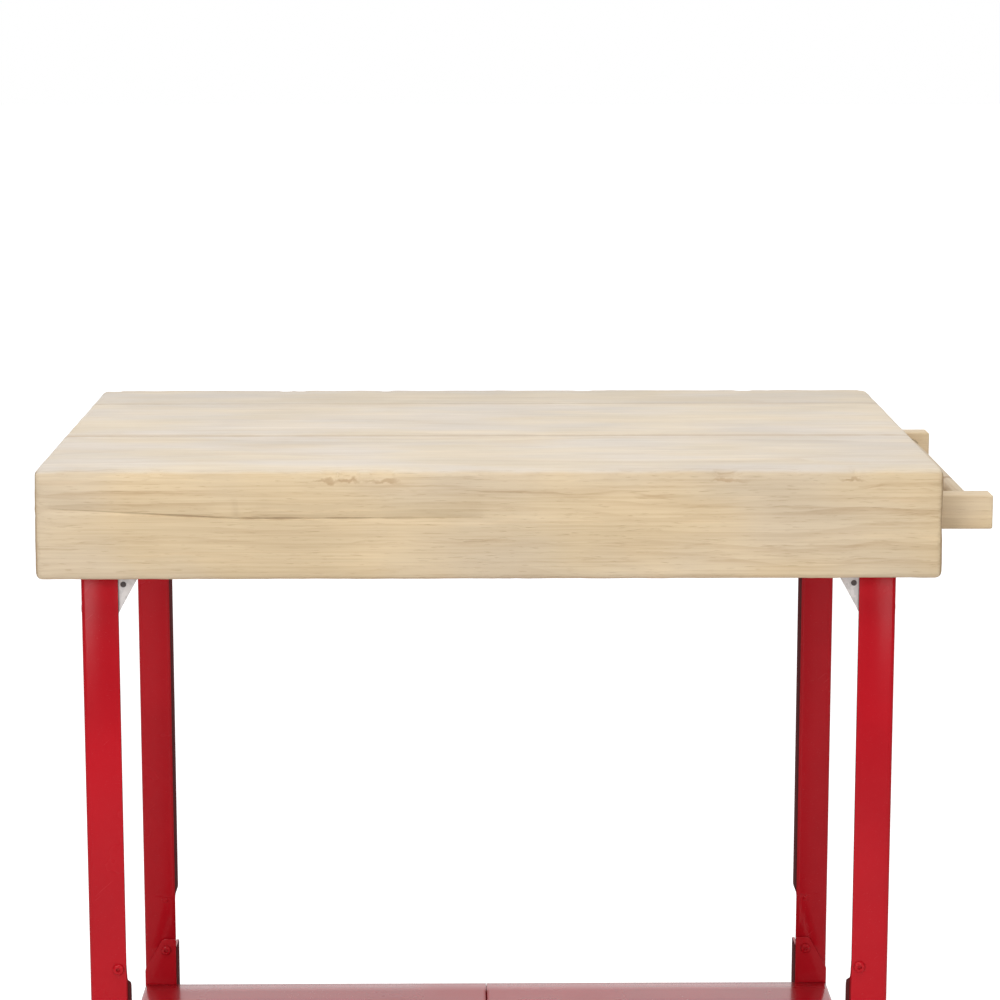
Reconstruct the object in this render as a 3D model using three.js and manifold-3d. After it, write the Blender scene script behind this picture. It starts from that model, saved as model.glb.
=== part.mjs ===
// Toy workbench: a thick jointed timber top on four pressed-steel legs, with a two-part steel
// shelf near the floor and a wooden hanging rail across the right-hand end.
// Millimetres; +X runs along the bench, +Y from its front to its back, +Z up from the floor.

import * as THREE from 'three';
import { RoundedBoxGeometry } from 'three/addons/geometries/RoundedBoxGeometry.js';
import { mergeVertices } from 'three/addons/utils/BufferGeometryUtils.js';
import Module from 'manifold-3d';

const wasm = await Module();
wasm.setup();

// ---------------------------------------------------------------- driving dimensions

// Whole bench
const TOP_LENGTH = 610;
const TOP_DEPTH = 400;
const TOP_THICKNESS = 75;
const BENCH_HEIGHT = 580;
const SHELF_HEIGHT = 95; // floor to the shelf's upper surface
const GAP = 0.3; // left between pieces that touch

// Timber top: three boards joined by loose splines in stopped grooves
const TOP_EDGE_RADIUS = 5;
const FRONT_BOARD_WIDTH = 154;
const REAR_BOARD_WIDTH = 81;
const SPLINE_THICKNESS = 8;
const SPLINE_WIDTH = 24;
const SPLINE_END_STOP = 32; // end of the top to the end of a groove

// Legs: pressed steel, 1 inch each way
const LEG_WIDTH = 25.4;
const LEG_DEPTH = 25.4;
const LEG_SHEET = 2;
const LEG_BEND = 3; // outside radius of a fold
const LEG_END_INSET = 27; // end of the top to the legs' outer faces
const LEG_FRONT_INSET = 27; // front of the top to the front legs' faces
const LEG_REAR_INSET = 2; // rear of the top to the back of the rear legs

// Rear legs: the inner flange is cut away at the corner bracket and in a notch above the shelf
const NOTCH_BOTTOM = 30; // above the shelf
const NOTCH_HEIGHT = 44.5;
const FLANGE_CHAMFER = 3;
const SPARE_HOLE_HEIGHT = 70.5; // above the shelf
const SPARE_HOLE_DIAMETER = 3.4;

// Front legs: a second angle stiffens the lower part and forms its inner flange
const STIFFENER_SHEET = 2;
const STIFFENER_PROUD = 0.5; // past the leg's inner edge
const STIFFENER_SETBACK = 8; // from the leg's outer face
const STIFFENER_PLATE_TOP = 138; // above the shelf
const STIFFENER_FLANGE_TOP = 111; // above the shelf
const STIFFENER_FLANGE_SLOPE = 10;
const STIFFENER_BOLT_HEIGHT = 129; // above the shelf
const STIFFENER_BOLT_INSET = 5.5; // from the leg's inner edge
const TAB_BOLT_INSET = 8; // from the leg's inner edge, as the spare hole above it is

// Zinc corner brackets between the legs and the top
const BRACKET_SHEET = 1.5;
const BRACKET_REACH = 15.5; // past the leg's inner edge, along the underside of the top
const BRACKET_DROP = 28; // underside of the top to where the sloping edge meets the leg's edge
const BRACKET_HEIGHT = 48;
const BRACKET_FLANGE = 21;
const BRACKET_SLOT_DROP = 8.3; // underside of the top to the hole in the sloping web
const BRACKET_RIVET_DROP = 27;

// Shelf: two folded trays on two side rails and two beams
const TRAY_SHEET = 1.6;
const TRAY_FOLD = 18; // depth of the turned-down edges
const RAIL_SHEET = 2;
const RAIL_HEIGHT = 20;
const RAIL_LEDGE = 20;
const RAIL_RIVET_RISE = 6; // bottom of a rail to its rivets
const BEAM_TAB_HEIGHT = 12; // of a beam's folded ends, low enough to stay hidden by the shelf
const TAB_RISE_INNER = 38; // above the shelf, at the leg's inner edge
const TAB_RISE_OUTER = 12.5; // above the shelf, at the leg's outer edge
const TAB_TOP_WIDTH = 11; // level part of a tab's top edge
const TAB_BOLT_HEIGHT = 29; // above the shelf

// Feet
const FOOT_BASE = 6;
const FOOT_MARGIN = 1.5;
const FOOT_PLUG = 14;
const FOOT_CLEARANCE = 1;

// Hanging rail on the right-hand end
const RAIL_REACH = 41;
const RAIL_BRACKET_WIDTH = 20;
const RAIL_BRACKET_HEIGHT = 23.5;
const RAIL_BRACKET_RADIUS = 1.5;
const RAIL_INSET = 56; // front or rear of the top to a bracket's centre
const RAIL_DROP = 37.5; // work surface to the rod's axis
const ROD_DIAMETER = 13.5;
const ROD_OFFSET = 26; // end of the top to the rod's axis
const ROD_CLEARANCE = 0.3;
const SOCKET_DEPTH = 11;

// Fasteners: shank and head diameters, head heights, lengths
const BOLT = { shank: 4, head: 8, headHeight: 2, nutWidth: 7, nutHeight: 3.2, length: 10 };
const RIVET = { shank: 4, head: 8, headHeight: 1, tail: 6.4, tailHeight: 1.4 };
const WOOD_SCREW = { shank: 3.8, head: 7.5, headHeight: 2.2, length: 28 };
const RAIL_SCREW = { shank: 4, head: 7, headHeight: 3, recess: 4.5, length: 66, spacing: 12 };
const ROUND_SEGMENTS = 12; // round a fastener
const ROD_SEGMENTS = 24;

// ---------------------------------------------------------------- derived positions

const underside = BENCH_HEIGHT - TOP_THICKNESS;
const halfLength = TOP_LENGTH / 2;
const halfDepth = TOP_DEPTH / 2;
const legFace = halfLength - LEG_END_INSET; // outer faces of the legs, from the centre
const frontPlate = -halfDepth + LEG_FRONT_INSET; // front faces of the front legs
const rearPlate = halfDepth - LEG_REAR_INSET - LEG_DEPTH; // front faces of the rear legs
const railTop = SHELF_HEIGHT - TRAY_SHEET - GAP;
const tabBack = rearPlate - GAP;
const tabFront = tabBack - RAIL_SHEET;
const trayRear = tabFront - GAP;
const frontBeamFace = frontPlate + TRAY_SHEET + GAP;
const frontBeamLedge = frontBeamFace + RAIL_LEDGE;
const rearBeamLedge = tabBack - RAIL_LEDGE;
const stiffenerInner = LEG_WIDTH + STIFFENER_PROUD; // inner face of the stiffener's flange
const seams = [-halfDepth + FRONT_BOARD_WIDTH, halfDepth - REAR_BOARD_WIDTH];
const rodHeight = BENCH_HEIGHT - RAIL_DROP;
const rodX = halfLength + ROD_OFFSET;
const railCentres = [-halfDepth + RAIL_INSET, halfDepth - RAIL_INSET];

// ---------------------------------------------------------------- materials

const PAINT_COLOUR = 0xb01c2b;
const TIMBER_COLOUR = 0xdcc7a3;
const ZINC_COLOUR = 0xc9cbcd;
const RUBBER_COLOUR = 0x1d1d1f;

const finishes = {
  paint: () => new THREE.MeshStandardMaterial({ color: PAINT_COLOUR, roughness: 0.35, metalness: 0.0 }),
  timber: () => new THREE.MeshStandardMaterial({ color: TIMBER_COLOUR, roughness: 0.7, metalness: 0.0 }),
  zinc: () => new THREE.MeshStandardMaterial({ color: ZINC_COLOUR, roughness: 0.4, metalness: 0.9 }),
  rubber: () => new THREE.MeshStandardMaterial({ color: RUBBER_COLOUR, roughness: 0.8, metalness: 0.0 }),
};

// ---------------------------------------------------------------- geometry helpers

// A closed geometry with shared corners, no flat triangles and its faces pointing out.
function closed(geometry) {
  const bare = geometry.clone();
  bare.deleteAttribute('normal');
  bare.deleteAttribute('uv');
  const merged = mergeVertices(bare, 1e-4);
  const position = merged.getAttribute('position');
  const kept = [];
  let volume = 0;
  const a = new THREE.Vector3();
  const b = new THREE.Vector3();
  const c = new THREE.Vector3();
  for (let i = 0; i < merged.index.count; i += 3) {
    const [p, q, r] = [0, 1, 2].map((k) => merged.index.getX(i + k));
    if (p === q || q === r || r === p) {
      continue;
    }
    kept.push(p, q, r);
    a.fromBufferAttribute(position, p);
    b.fromBufferAttribute(position, q);
    c.fromBufferAttribute(position, r);
    volume += a.dot(b.cross(c)) / 6;
  }
  merged.setIndex(volume < 0 ? kept.reverse() : kept);
  return merged;
}

function solidOf(geometry) {
  const shape = closed(geometry);
  const vertProperties = new Float32Array(shape.getAttribute('position').array);
  const triVerts = new Uint32Array(shape.index.array);
  return new wasm.Manifold(new wasm.Mesh({ numProp: 3, vertProperties, triVerts }));
}

function geometryOf(solid) {
  const { vertProperties, triVerts } = solid.getMesh();
  const geometry = new THREE.BufferGeometry();
  geometry.setAttribute('position', new THREE.BufferAttribute(new Float32Array(vertProperties), 3));
  geometry.setIndex(new THREE.BufferAttribute(new Uint32Array(triVerts), 1));
  geometry.computeVertexNormals();
  return geometry;
}

// Joins the added geometries and cuts the others away from them.
function carved(added, cutters = []) {
  let solid = solidOf(added[0]);
  for (const extra of added.slice(1)) {
    solid = solid.add(solidOf(extra));
  }
  for (const cutter of cutters) {
    solid = solid.subtract(solidOf(cutter));
  }
  return geometryOf(solid);
}

function block(low, high) {
  const size = [0, 1, 2].map((k) => Math.abs(high[k] - low[k]));
  const centre = [0, 1, 2].map((k) => (high[k] + low[k]) / 2);
  return new THREE.BoxGeometry(...size).translate(...centre);
}

// A closed outline; a corner written [x, y, radius] is rounded with an arc.
function outline(corners) {
  const shape = new THREE.Shape();
  const count = corners.length;
  corners.forEach(([x, y, radius = 0], i) => {
    const here = new THREE.Vector2(x, y);
    const before = new THREE.Vector2(...corners[(i + count - 1) % count]);
    const after = new THREE.Vector2(...corners[(i + 1) % count]);
    const entry = here.clone().add(before.sub(here).setLength(radius));
    const exit = here.clone().add(after.sub(here).setLength(radius));
    if (i === 0) {
      shape.moveTo(entry.x, entry.y);
    } else {
      shape.lineTo(entry.x, entry.y);
    }
    if (radius > 0) {
      shape.quadraticCurveTo(x, y, exit.x, exit.y);
    }
  });
  shape.closePath();
  return shape;
}

function prism(corners, length) {
  const settings = { depth: length, bevelEnabled: false, curveSegments: 3 };
  return new THREE.ExtrudeGeometry(outline(corners), settings);
}

// Prisms along each axis; the corners are [x, y], [x, z] and [y, z] in turn.
function prismZ(corners, from, to) {
  return prism(corners, to - from).translate(0, 0, from);
}

function prismY(corners, from, to) {
  return prism(corners, to - from).rotateX(Math.PI / 2).translate(0, to, 0);
}

function prismX(corners, from, to) {
  const low = Math.min(from, to);
  const turned = new THREE.Matrix4().makeBasis(
    new THREE.Vector3(0, 1, 0),
    new THREE.Vector3(0, 0, 1),
    new THREE.Vector3(1, 0, 0),
  );
  return prism(corners, Math.abs(to - from)).applyMatrix4(turned).translate(low, 0, 0);
}

// A turned piece from [radius, height] points that start and end on its axis, along +Z.
function turned(profile, segments = ROUND_SEGMENTS) {
  const points = profile.map(([radius, height]) => new THREE.Vector2(radius, height));
  return new THREE.LatheGeometry(points, segments).rotateX(Math.PI / 2);
}

function rod(diameter, from, to, segments = ROUND_SEGMENTS) {
  const radius = diameter / 2;
  return turned([[0, from], [radius, from], [radius, to], [0, to]], segments);
}

// Turns a piece made along +Z so that it points along the given axis.
function along(geometry, axis) {
  const turn = new THREE.Quaternion().setFromUnitVectors(
    new THREE.Vector3(0, 0, 1),
    new THREE.Vector3(...axis),
  );
  return geometry.applyQuaternion(turn);
}

function drill(diameter, axis, centre, reach) {
  return along(rod(diameter, -reach, reach), axis).translate(...centre);
}

function clearanceHole(fastener, axis, centre, reach) {
  return drill(fastener.shank + 2 * GAP, axis, centre, reach);
}

function piece(name, geometry, finish) {
  const mesh = new THREE.Mesh(closed(geometry), finishes[finish]());
  mesh.geometry.computeVertexNormals();
  mesh.name = name;
  return mesh;
}

function placed(mesh, position, axis = [0, 0, 1]) {
  mesh.position.set(...position);
  mesh.quaternion.setFromUnitVectors(new THREE.Vector3(0, 0, 1), new THREE.Vector3(...axis));
  return mesh;
}

// ---------------------------------------------------------------- fasteners
// Each is made along +Z with the seat of its head at z = 0 and its shank below.

function boltGeometry() {
  const head = BOLT.head / 2;
  const shank = BOLT.shank / 2;
  return turned([
    [0, -BOLT.length],
    [shank, -BOLT.length],
    [shank, 0],
    [head, 0],
    [head, BOLT.headHeight * 0.4],
    [head * 0.62, BOLT.headHeight],
    [0, BOLT.headHeight],
  ]);
}

function nutGeometry() {
  const hexagon = turned([
    [0, 0],
    [BOLT.nutWidth / Math.sqrt(3), 0],
    [BOLT.nutWidth / Math.sqrt(3), BOLT.nutHeight],
    [0, BOLT.nutHeight],
  ], 6);
  return carved([hexagon], [rod(BOLT.shank + 2 * GAP, -1, BOLT.nutHeight + 1)]);
}

function rivetGeometry(grip) {
  const head = RIVET.head / 2;
  const shank = RIVET.shank / 2;
  const tail = RIVET.tail / 2;
  return turned([
    [0, -grip - RIVET.tailHeight],
    [tail * 0.7, -grip - RIVET.tailHeight],
    [tail, -grip - RIVET.tailHeight * 0.4],
    [tail, -grip],
    [shank, -grip],
    [shank, 0],
    [head, 0],
    [head * 0.8, RIVET.headHeight * 0.65],
    [head * 0.4, RIVET.headHeight],
    [0, RIVET.headHeight],
  ]);
}

function screwGeometry(screw) {
  const head = screw.head / 2;
  const shank = screw.shank / 2;
  return turned([
    [0, -screw.length],
    [shank * 0.25, -screw.length],
    [shank, -screw.length + 2 * screw.shank],
    [shank, 0],
    [head, 0],
    [head * 0.7, screw.headHeight],
    [0, screw.headHeight],
  ]);
}

// ---------------------------------------------------------------- timber top

function timberTop() {
  const group = new THREE.Group();
  const middle = BENCH_HEIGHT - TOP_THICKNESS / 2;
  const slab = new RoundedBoxGeometry(TOP_LENGTH, TOP_DEPTH, TOP_THICKNESS, 3, TOP_EDGE_RADIUS);
  slab.translate(0, 0, middle);
  const splineReach = halfLength - SPLINE_END_STOP;
  const grooves = seams.map((seam) => block(
    [-splineReach - GAP, seam - SPLINE_WIDTH / 2 - GAP, middle - SPLINE_THICKNESS / 2 - GAP],
    [splineReach + GAP, seam + SPLINE_WIDTH / 2 + GAP, middle + SPLINE_THICKNESS / 2 + GAP],
  ));
  const legScrewHoles = cornerPlaces.flatMap(({ hand, plate }) => bracketScrewPlaces.map(([u, v]) => (
    clearanceHole(WOOD_SCREW, [0, 0, 1], [hand * (u - legFace), plate + v, underside], WOOD_SCREW.length)
  )));
  const railScrewReach = RAIL_SCREW.length - RAIL_REACH + RAIL_SCREW.recess;
  const railScrewHoles = railScrewPlaces.map(({ y, z }) => (
    clearanceHole(RAIL_SCREW, [1, 0, 0], [halfLength, y, z], railScrewReach)
  ));
  const whole = solidOf(carved([slab], [...grooves, ...legScrewHoles, ...railScrewHoles]));
  const edges = [-halfDepth - TOP_DEPTH, ...seams, halfDepth + TOP_DEPTH];
  ['front', 'middle', 'rear'].forEach((name, i) => {
    const strip = block(
      [-TOP_LENGTH, edges[i] + GAP / 2, 0],
      [TOP_LENGTH, edges[i + 1] - GAP / 2, 2 * BENCH_HEIGHT],
    );
    group.add(piece(`top_board_${name}`, geometryOf(whole.intersect(solidOf(strip))), 'timber'));
  });
  ['front', 'rear'].forEach((name, i) => {
    const spline = new THREE.BoxGeometry(2 * splineReach, SPLINE_WIDTH, SPLINE_THICKNESS);
    group.add(placed(piece(`top_spline_${name}`, spline, 'timber'), [0, seams[i], middle]));
  });
  return group;
}

// ---------------------------------------------------------------- legs, stiffeners, brackets, feet
// At each corner u runs inwards from the legs' outer face and v backwards from the leg's front
// face; hand is 1 on the left and -1 on the right.

const bracketWeb = LEG_SHEET + GAP + BRACKET_SHEET; // back of the bracket's web, as v
const bracketScrewPlaces = [
  [LEG_SHEET + GAP + BRACKET_SHEET + 7, bracketWeb + BRACKET_FLANGE / 2],
  [LEG_WIDTH + BRACKET_REACH - 8, bracketWeb + BRACKET_FLANGE / 2],
];
// The rail's screws pass through the part of each bracket that the rod's socket leaves solid.
const railScrewPlaces = railCentres.flatMap((centre) => ['upper', 'lower'].map((level) => ({
  name: `${centre < 0 ? 'front' : 'rear'}_${level}`,
  y: centre + Math.sign(centre) * SOCKET_DEPTH / 2,
  z: rodHeight + (level === 'upper' ? 0.5 : -0.5) * RAIL_SCREW.spacing,
})));
const cornerPlaces = [
  { name: 'front_left', hand: 1, plate: frontPlate, front: true },
  { name: 'front_right', hand: -1, plate: frontPlate, front: true },
  { name: 'rear_left', hand: 1, plate: rearPlate, front: false },
  { name: 'rear_right', hand: -1, plate: rearPlate, front: false },
];

function mirrored(corners, hand) {
  return corners.map(([x, y, radius]) => [hand * x, y, radius]);
}

const bracketRivetV = bracketWeb + BRACKET_FLANGE / 2;
const sideRivetV = LEG_DEPTH / 2 + STIFFENER_SHEET;
const beamRivetV = LEG_DEPTH / 2 + LEG_SHEET;
const beamRivetZ = railTop - RAIL_HEIGHT + RAIL_RIVET_RISE;

function frontLeg(hand) {
  const section = mirrored([
    [0, 0, LEG_BEND],
    [LEG_WIDTH, 0],
    [LEG_WIDTH, LEG_SHEET],
    [LEG_SHEET, LEG_SHEET, LEG_BEND - LEG_SHEET],
    [LEG_SHEET, LEG_DEPTH],
    [0, LEG_DEPTH],
  ], hand);
  return carved([prismZ(section, FOOT_BASE + GAP, underside - GAP)], [
    clearanceHole(BOLT, [0, 1, 0], [
      hand * (LEG_WIDTH - STIFFENER_BOLT_INSET), LEG_SHEET / 2, SHELF_HEIGHT + STIFFENER_BOLT_HEIGHT,
    ], LEG_SHEET),
    clearanceHole(RIVET, [1, 0, 0], [hand, bracketRivetV, underside - BRACKET_RIVET_DROP], LEG_SHEET),
    clearanceHole(RIVET, [1, 0, 0], [hand, sideRivetV, beamRivetZ], LEG_SHEET),
  ]);
}

function rearLeg(hand) {
  const section = mirrored([
    [0, 0, LEG_BEND],
    [LEG_WIDTH, 0, LEG_BEND],
    [LEG_WIDTH, LEG_DEPTH],
    [LEG_WIDTH - LEG_SHEET, LEG_DEPTH],
    [LEG_WIDTH - LEG_SHEET, LEG_SHEET, LEG_BEND - LEG_SHEET],
    [LEG_SHEET, LEG_SHEET, LEG_BEND - LEG_SHEET],
    [LEG_SHEET, LEG_DEPTH],
    [0, LEG_DEPTH],
  ], hand);
  const back = LEG_DEPTH + FLANGE_CHAMFER;
  const lower = SHELF_HEIGHT + NOTCH_BOTTOM;
  const upper = lower + NOTCH_HEIGHT;
  const flangeTop = underside - BRACKET_HEIGHT - GAP;
  const cutFrom = hand * (LEG_WIDTH - LEG_BEND);
  const cutTo = hand * (LEG_WIDTH + 1);
  const notch = prismX([
    [LEG_SHEET, lower],
    [LEG_DEPTH - FLANGE_CHAMFER, lower],
    [back, lower - 2 * FLANGE_CHAMFER],
    [back, upper + 2 * FLANGE_CHAMFER],
    [LEG_DEPTH - FLANGE_CHAMFER, upper],
    [LEG_SHEET, upper],
  ], cutFrom, cutTo);
  const head = prismX([
    [LEG_SHEET, flangeTop],
    [LEG_DEPTH - FLANGE_CHAMFER, flangeTop],
    [back, flangeTop - 2 * FLANGE_CHAMFER],
    [back, underside],
    [LEG_SHEET, underside],
  ], cutFrom, cutTo);
  const innerEdge = hand * (LEG_WIDTH - LEG_SHEET / 2);
  return carved([prismZ(section, FOOT_BASE + GAP, underside - GAP)], [
    notch,
    head,
    clearanceHole(BOLT, [0, 1, 0], [
      hand * (LEG_WIDTH - TAB_BOLT_INSET), LEG_SHEET / 2, SHELF_HEIGHT + TAB_BOLT_HEIGHT,
    ], LEG_SHEET),
    drill(SPARE_HOLE_DIAMETER, [0, 1, 0], [
      hand * (LEG_WIDTH - TAB_BOLT_INSET), LEG_SHEET / 2, SHELF_HEIGHT + SPARE_HOLE_HEIGHT,
    ], LEG_SHEET),
    clearanceHole(RIVET, [1, 0, 0], [hand, bracketRivetV, underside - BRACKET_RIVET_DROP], LEG_SHEET),
    clearanceHole(RIVET, [1, 0, 0], [innerEdge, beamRivetV, beamRivetZ], LEG_SHEET),
  ]);
}

function stiffener(hand) {
  const front = LEG_SHEET + GAP;
  const plateBack = front + STIFFENER_SHEET;
  const section = mirrored([
    [STIFFENER_SETBACK, front],
    [stiffenerInner, front, STIFFENER_SHEET + 1],
    [stiffenerInner, LEG_DEPTH],
    [stiffenerInner - STIFFENER_SHEET, LEG_DEPTH],
    [stiffenerInner - STIFFENER_SHEET, plateBack, 1],
    [STIFFENER_SETBACK, plateBack],
  ], hand);
  const top = SHELF_HEIGHT + STIFFENER_PLATE_TOP;
  const flangeTop = SHELF_HEIGHT + STIFFENER_FLANGE_TOP;
  const back = LEG_DEPTH + FLANGE_CHAMFER;
  const flangeCut = prismX([
    [plateBack, flangeTop + STIFFENER_FLANGE_SLOPE],
    [LEG_DEPTH - FLANGE_CHAMFER, flangeTop],
    [back, flangeTop - 2 * FLANGE_CHAMFER],
    [back, top + 1],
    [plateBack, top + 1],
  ], hand * (stiffenerInner - STIFFENER_SHEET - 1), hand * (stiffenerInner + 1));
  return carved([prismZ(section, FOOT_BASE + GAP, top)], [
    flangeCut,
    clearanceHole(BOLT, [0, 1, 0], [
      hand * (LEG_WIDTH - STIFFENER_BOLT_INSET), front + STIFFENER_SHEET / 2,
      SHELF_HEIGHT + STIFFENER_BOLT_HEIGHT,
    ], STIFFENER_SHEET),
    clearanceHole(RIVET, [1, 0, 0], [
      hand * (stiffenerInner - STIFFENER_SHEET / 2), beamRivetV, beamRivetZ,
    ], STIFFENER_SHEET),
  ]);
}

// A pressed bracket: a sloping web behind the leg's face, a flange under the top and a flange
// against the inside of the leg's outer flange.
function cornerBracket(hand) {
  const outer = LEG_SHEET + GAP;
  const inner = LEG_WIDTH + BRACKET_REACH;
  const front = LEG_SHEET + GAP;
  const back = bracketWeb + BRACKET_FLANGE;
  const top = underside - GAP;
  const slope = BRACKET_REACH / BRACKET_DROP;
  const web = prismY(mirrored([
    [outer, top],
    [outer, underside - BRACKET_HEIGHT],
    [LEG_WIDTH - (BRACKET_HEIGHT - BRACKET_DROP) * slope, underside - BRACKET_HEIGHT],
    [inner - (BRACKET_SHEET + GAP) * slope, top - BRACKET_SHEET],
    [inner, top],
  ], hand), front, front + BRACKET_SHEET);
  const ledge = block([hand * outer, front, top - BRACKET_SHEET], [hand * inner, back, top]);
  const cheek = prismX([
    [front, top],
    [back, top],
    [back, underside - BRACKET_HEIGHT / 2],
    [back - BRACKET_FLANGE / 2, underside - BRACKET_HEIGHT],
    [front, underside - BRACKET_HEIGHT],
  ], hand * outer, hand * (outer + BRACKET_SHEET));
  return carved([web, ledge, cheek], [
    ...bracketScrewPlaces.map(([u, v]) => (
      clearanceHole(WOOD_SCREW, [0, 0, 1], [hand * u, v, top], 2 * BRACKET_SHEET)
    )),
    drill(SPARE_HOLE_DIAMETER, [0, 1, 0], [
      hand * (LEG_WIDTH + SPARE_HOLE_DIAMETER), front, underside - BRACKET_SLOT_DROP,
    ], 2 * BRACKET_SHEET),
    clearanceHole(RIVET, [1, 0, 0], [
      hand * (outer + BRACKET_SHEET / 2), bracketRivetV, underside - BRACKET_RIVET_DROP,
    ], BRACKET_SHEET),
  ]);
}

// A moulded foot: a pad under the leg with a plug that stands inside it.
function foot(hand, front) {
  const width = front ? stiffenerInner : LEG_WIDTH;
  const wallInner = width - (front ? STIFFENER_SHEET : LEG_SHEET);
  const wallFront = front ? LEG_SHEET + GAP + STIFFENER_SHEET : LEG_SHEET;
  const m = FOOT_MARGIN;
  const radius = LEG_BEND;
  const pad = prismZ(mirrored([
    [-m, -m, radius],
    [width + m, -m, radius],
    [width + m, LEG_DEPTH + m, radius],
    [-m, LEG_DEPTH + m, radius],
  ], hand), 0, FOOT_BASE);
  const plug = block(
    [hand * (LEG_SHEET + FOOT_CLEARANCE), wallFront + FOOT_CLEARANCE, FOOT_BASE - 1],
    [hand * (wallInner - FOOT_CLEARANCE), LEG_DEPTH - FOOT_CLEARANCE, FOOT_BASE + FOOT_PLUG],
  );
  return carved([pad, plug]);
}

function corner({ name, hand, plate, front }) {
  const group = new THREE.Group();
  group.position.set(-hand * legFace, plate, 0);
  group.add(piece(`leg_${name}`, front ? frontLeg(hand) : rearLeg(hand), 'paint'));
  group.add(piece(`corner_bracket_${name}`, cornerBracket(hand), 'zinc'));
  group.add(piece(`foot_${name}`, foot(hand, front), 'rubber'));
  bracketScrewPlaces.forEach(([u, v], i) => {
    const label = `bracket_screw_${name}_${i === 0 ? 'outer' : 'inner'}`;
    const seat = underside - GAP - BRACKET_SHEET - GAP;
    group.add(placed(piece(label, screwGeometry(WOOD_SCREW), 'zinc'), [hand * u, v, seat], [0, 0, -1]));
  });
  const bracketGrip = LEG_SHEET + BRACKET_SHEET + 3 * GAP;
  const bracketRivet = piece(`bracket_rivet_${name}`, rivetGeometry(bracketGrip), 'paint');
  const rivetHeight = underside - BRACKET_RIVET_DROP;
  group.add(placed(bracketRivet, [-hand * GAP, bracketRivetV, rivetHeight], [-hand, 0, 0]));
  const side = hand > 0 ? 'left' : 'right';
  if (front) {
    group.add(piece(`leg_stiffener_${side}`, stiffener(hand), 'paint'));
    const railGrip = LEG_SHEET + RAIL_SHEET + 3 * GAP;
    const railRivet = piece(`side_rail_rivet_${side}`, rivetGeometry(railGrip), 'paint');
    group.add(placed(railRivet, [-hand * GAP, sideRivetV, beamRivetZ], [-hand, 0, 0]));
  }
  const boltName = front ? 'stiffener' : 'tab';
  const boltHeight = SHELF_HEIGHT + (front ? STIFFENER_BOLT_HEIGHT : TAB_BOLT_HEIGHT);
  const headSeat = front ? -GAP : -GAP - RAIL_SHEET - GAP;
  const nutSeat = front ? LEG_SHEET + GAP + STIFFENER_SHEET + GAP : LEG_SHEET + GAP;
  const boltU = hand * (LEG_WIDTH - (front ? STIFFENER_BOLT_INSET : TAB_BOLT_INSET));
  const bolt = piece(`${boltName}_bolt_${side}`, boltGeometry(), 'paint');
  const nut = piece(`${boltName}_nut_${side}`, nutGeometry(), 'zinc');
  group.add(placed(bolt, [boltU, headSeat, boltHeight], [0, -1, 0]));
  group.add(placed(nut, [boltU, nutSeat, boltHeight], [0, 1, 0]));
  const tabStart = (front ? stiffenerInner : LEG_WIDTH) + GAP + RAIL_SHEET + GAP;
  const beamGrip = RAIL_SHEET + (front ? STIFFENER_SHEET : LEG_SHEET) + 3 * GAP;
  const beamRivet = piece(`beam_rivet_${name}`, rivetGeometry(beamGrip), 'paint');
  group.add(placed(beamRivet, [hand * tabStart, beamRivetV, beamRivetZ], [hand, 0, 0]));
  return group;
}

// ---------------------------------------------------------------- shelf

// An angle along the end of the shelf, riveted inside the front leg; its rear end is folded
// into a tab that rises above the shelf and bolts to the face of the rear leg.
function sideRail(hand) {
  const outer = LEG_SHEET + GAP;
  const bottom = railTop - RAIL_HEIGHT;
  const angle = prismY(mirrored([
    [outer, bottom],
    [outer + RAIL_SHEET, bottom],
    [outer + RAIL_SHEET, railTop - RAIL_SHEET, 1],
    [outer + RAIL_LEDGE, railTop - RAIL_SHEET],
    [outer + RAIL_LEDGE, railTop],
    [outer, railTop, RAIL_SHEET + 1],
  ], hand), frontPlate + LEG_SHEET + LEG_BEND, tabBack);
  const tab = prismY(mirrored([
    [0, bottom, 1],
    [LEG_WIDTH, bottom, 1],
    [LEG_WIDTH, SHELF_HEIGHT + TAB_RISE_INNER, 2],
    [LEG_WIDTH - TAB_TOP_WIDTH, SHELF_HEIGHT + TAB_RISE_INNER, 2],
    [0, SHELF_HEIGHT + TAB_RISE_OUTER, 2],
  ], hand), tabFront, tabBack);
  return carved([angle, tab], [
    clearanceHole(BOLT, [0, 1, 0], [
      hand * (LEG_WIDTH - TAB_BOLT_INSET), tabFront, SHELF_HEIGHT + TAB_BOLT_HEIGHT,
    ], 2 * RAIL_SHEET),
    clearanceHole(RIVET, [1, 0, 0], [
      hand * (outer + RAIL_SHEET / 2), frontPlate + sideRivetV, beamRivetZ,
    ], RAIL_SHEET),
  ]);
}

// An angle between two legs, with its ends folded back against their inner flanges.
function beam({ corner, ledge, legPlate, inner }) {
  const bottom = railTop - RAIL_HEIGHT;
  const forward = Math.sign(ledge - corner);
  const reach = legFace - inner - GAP;
  const tabEnd = legPlate + LEG_DEPTH - 2 * RAIL_SHEET;
  const angle = prismX([
    [corner, bottom],
    [corner, railTop, RAIL_SHEET + 1],
    [ledge, railTop],
    [ledge, railTop - RAIL_SHEET],
    [corner + forward * RAIL_SHEET, railTop - RAIL_SHEET, 1],
    [corner + forward * RAIL_SHEET, bottom],
  ], -reach, reach);
  const tabs = [-1, 1].map((side) => block(
    [side * reach, Math.min(corner, corner + forward * RAIL_SHEET), bottom],
    [side * (reach - RAIL_SHEET), tabEnd, bottom + BEAM_TAB_HEIGHT],
  ));
  const holes = [-1, 1].map((side) => clearanceHole(RIVET, [1, 0, 0], [
    side * (reach - RAIL_SHEET / 2), legPlate + beamRivetV, beamRivetZ,
  ], RAIL_SHEET));
  return carved([angle, ...tabs], holes);
}

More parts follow.
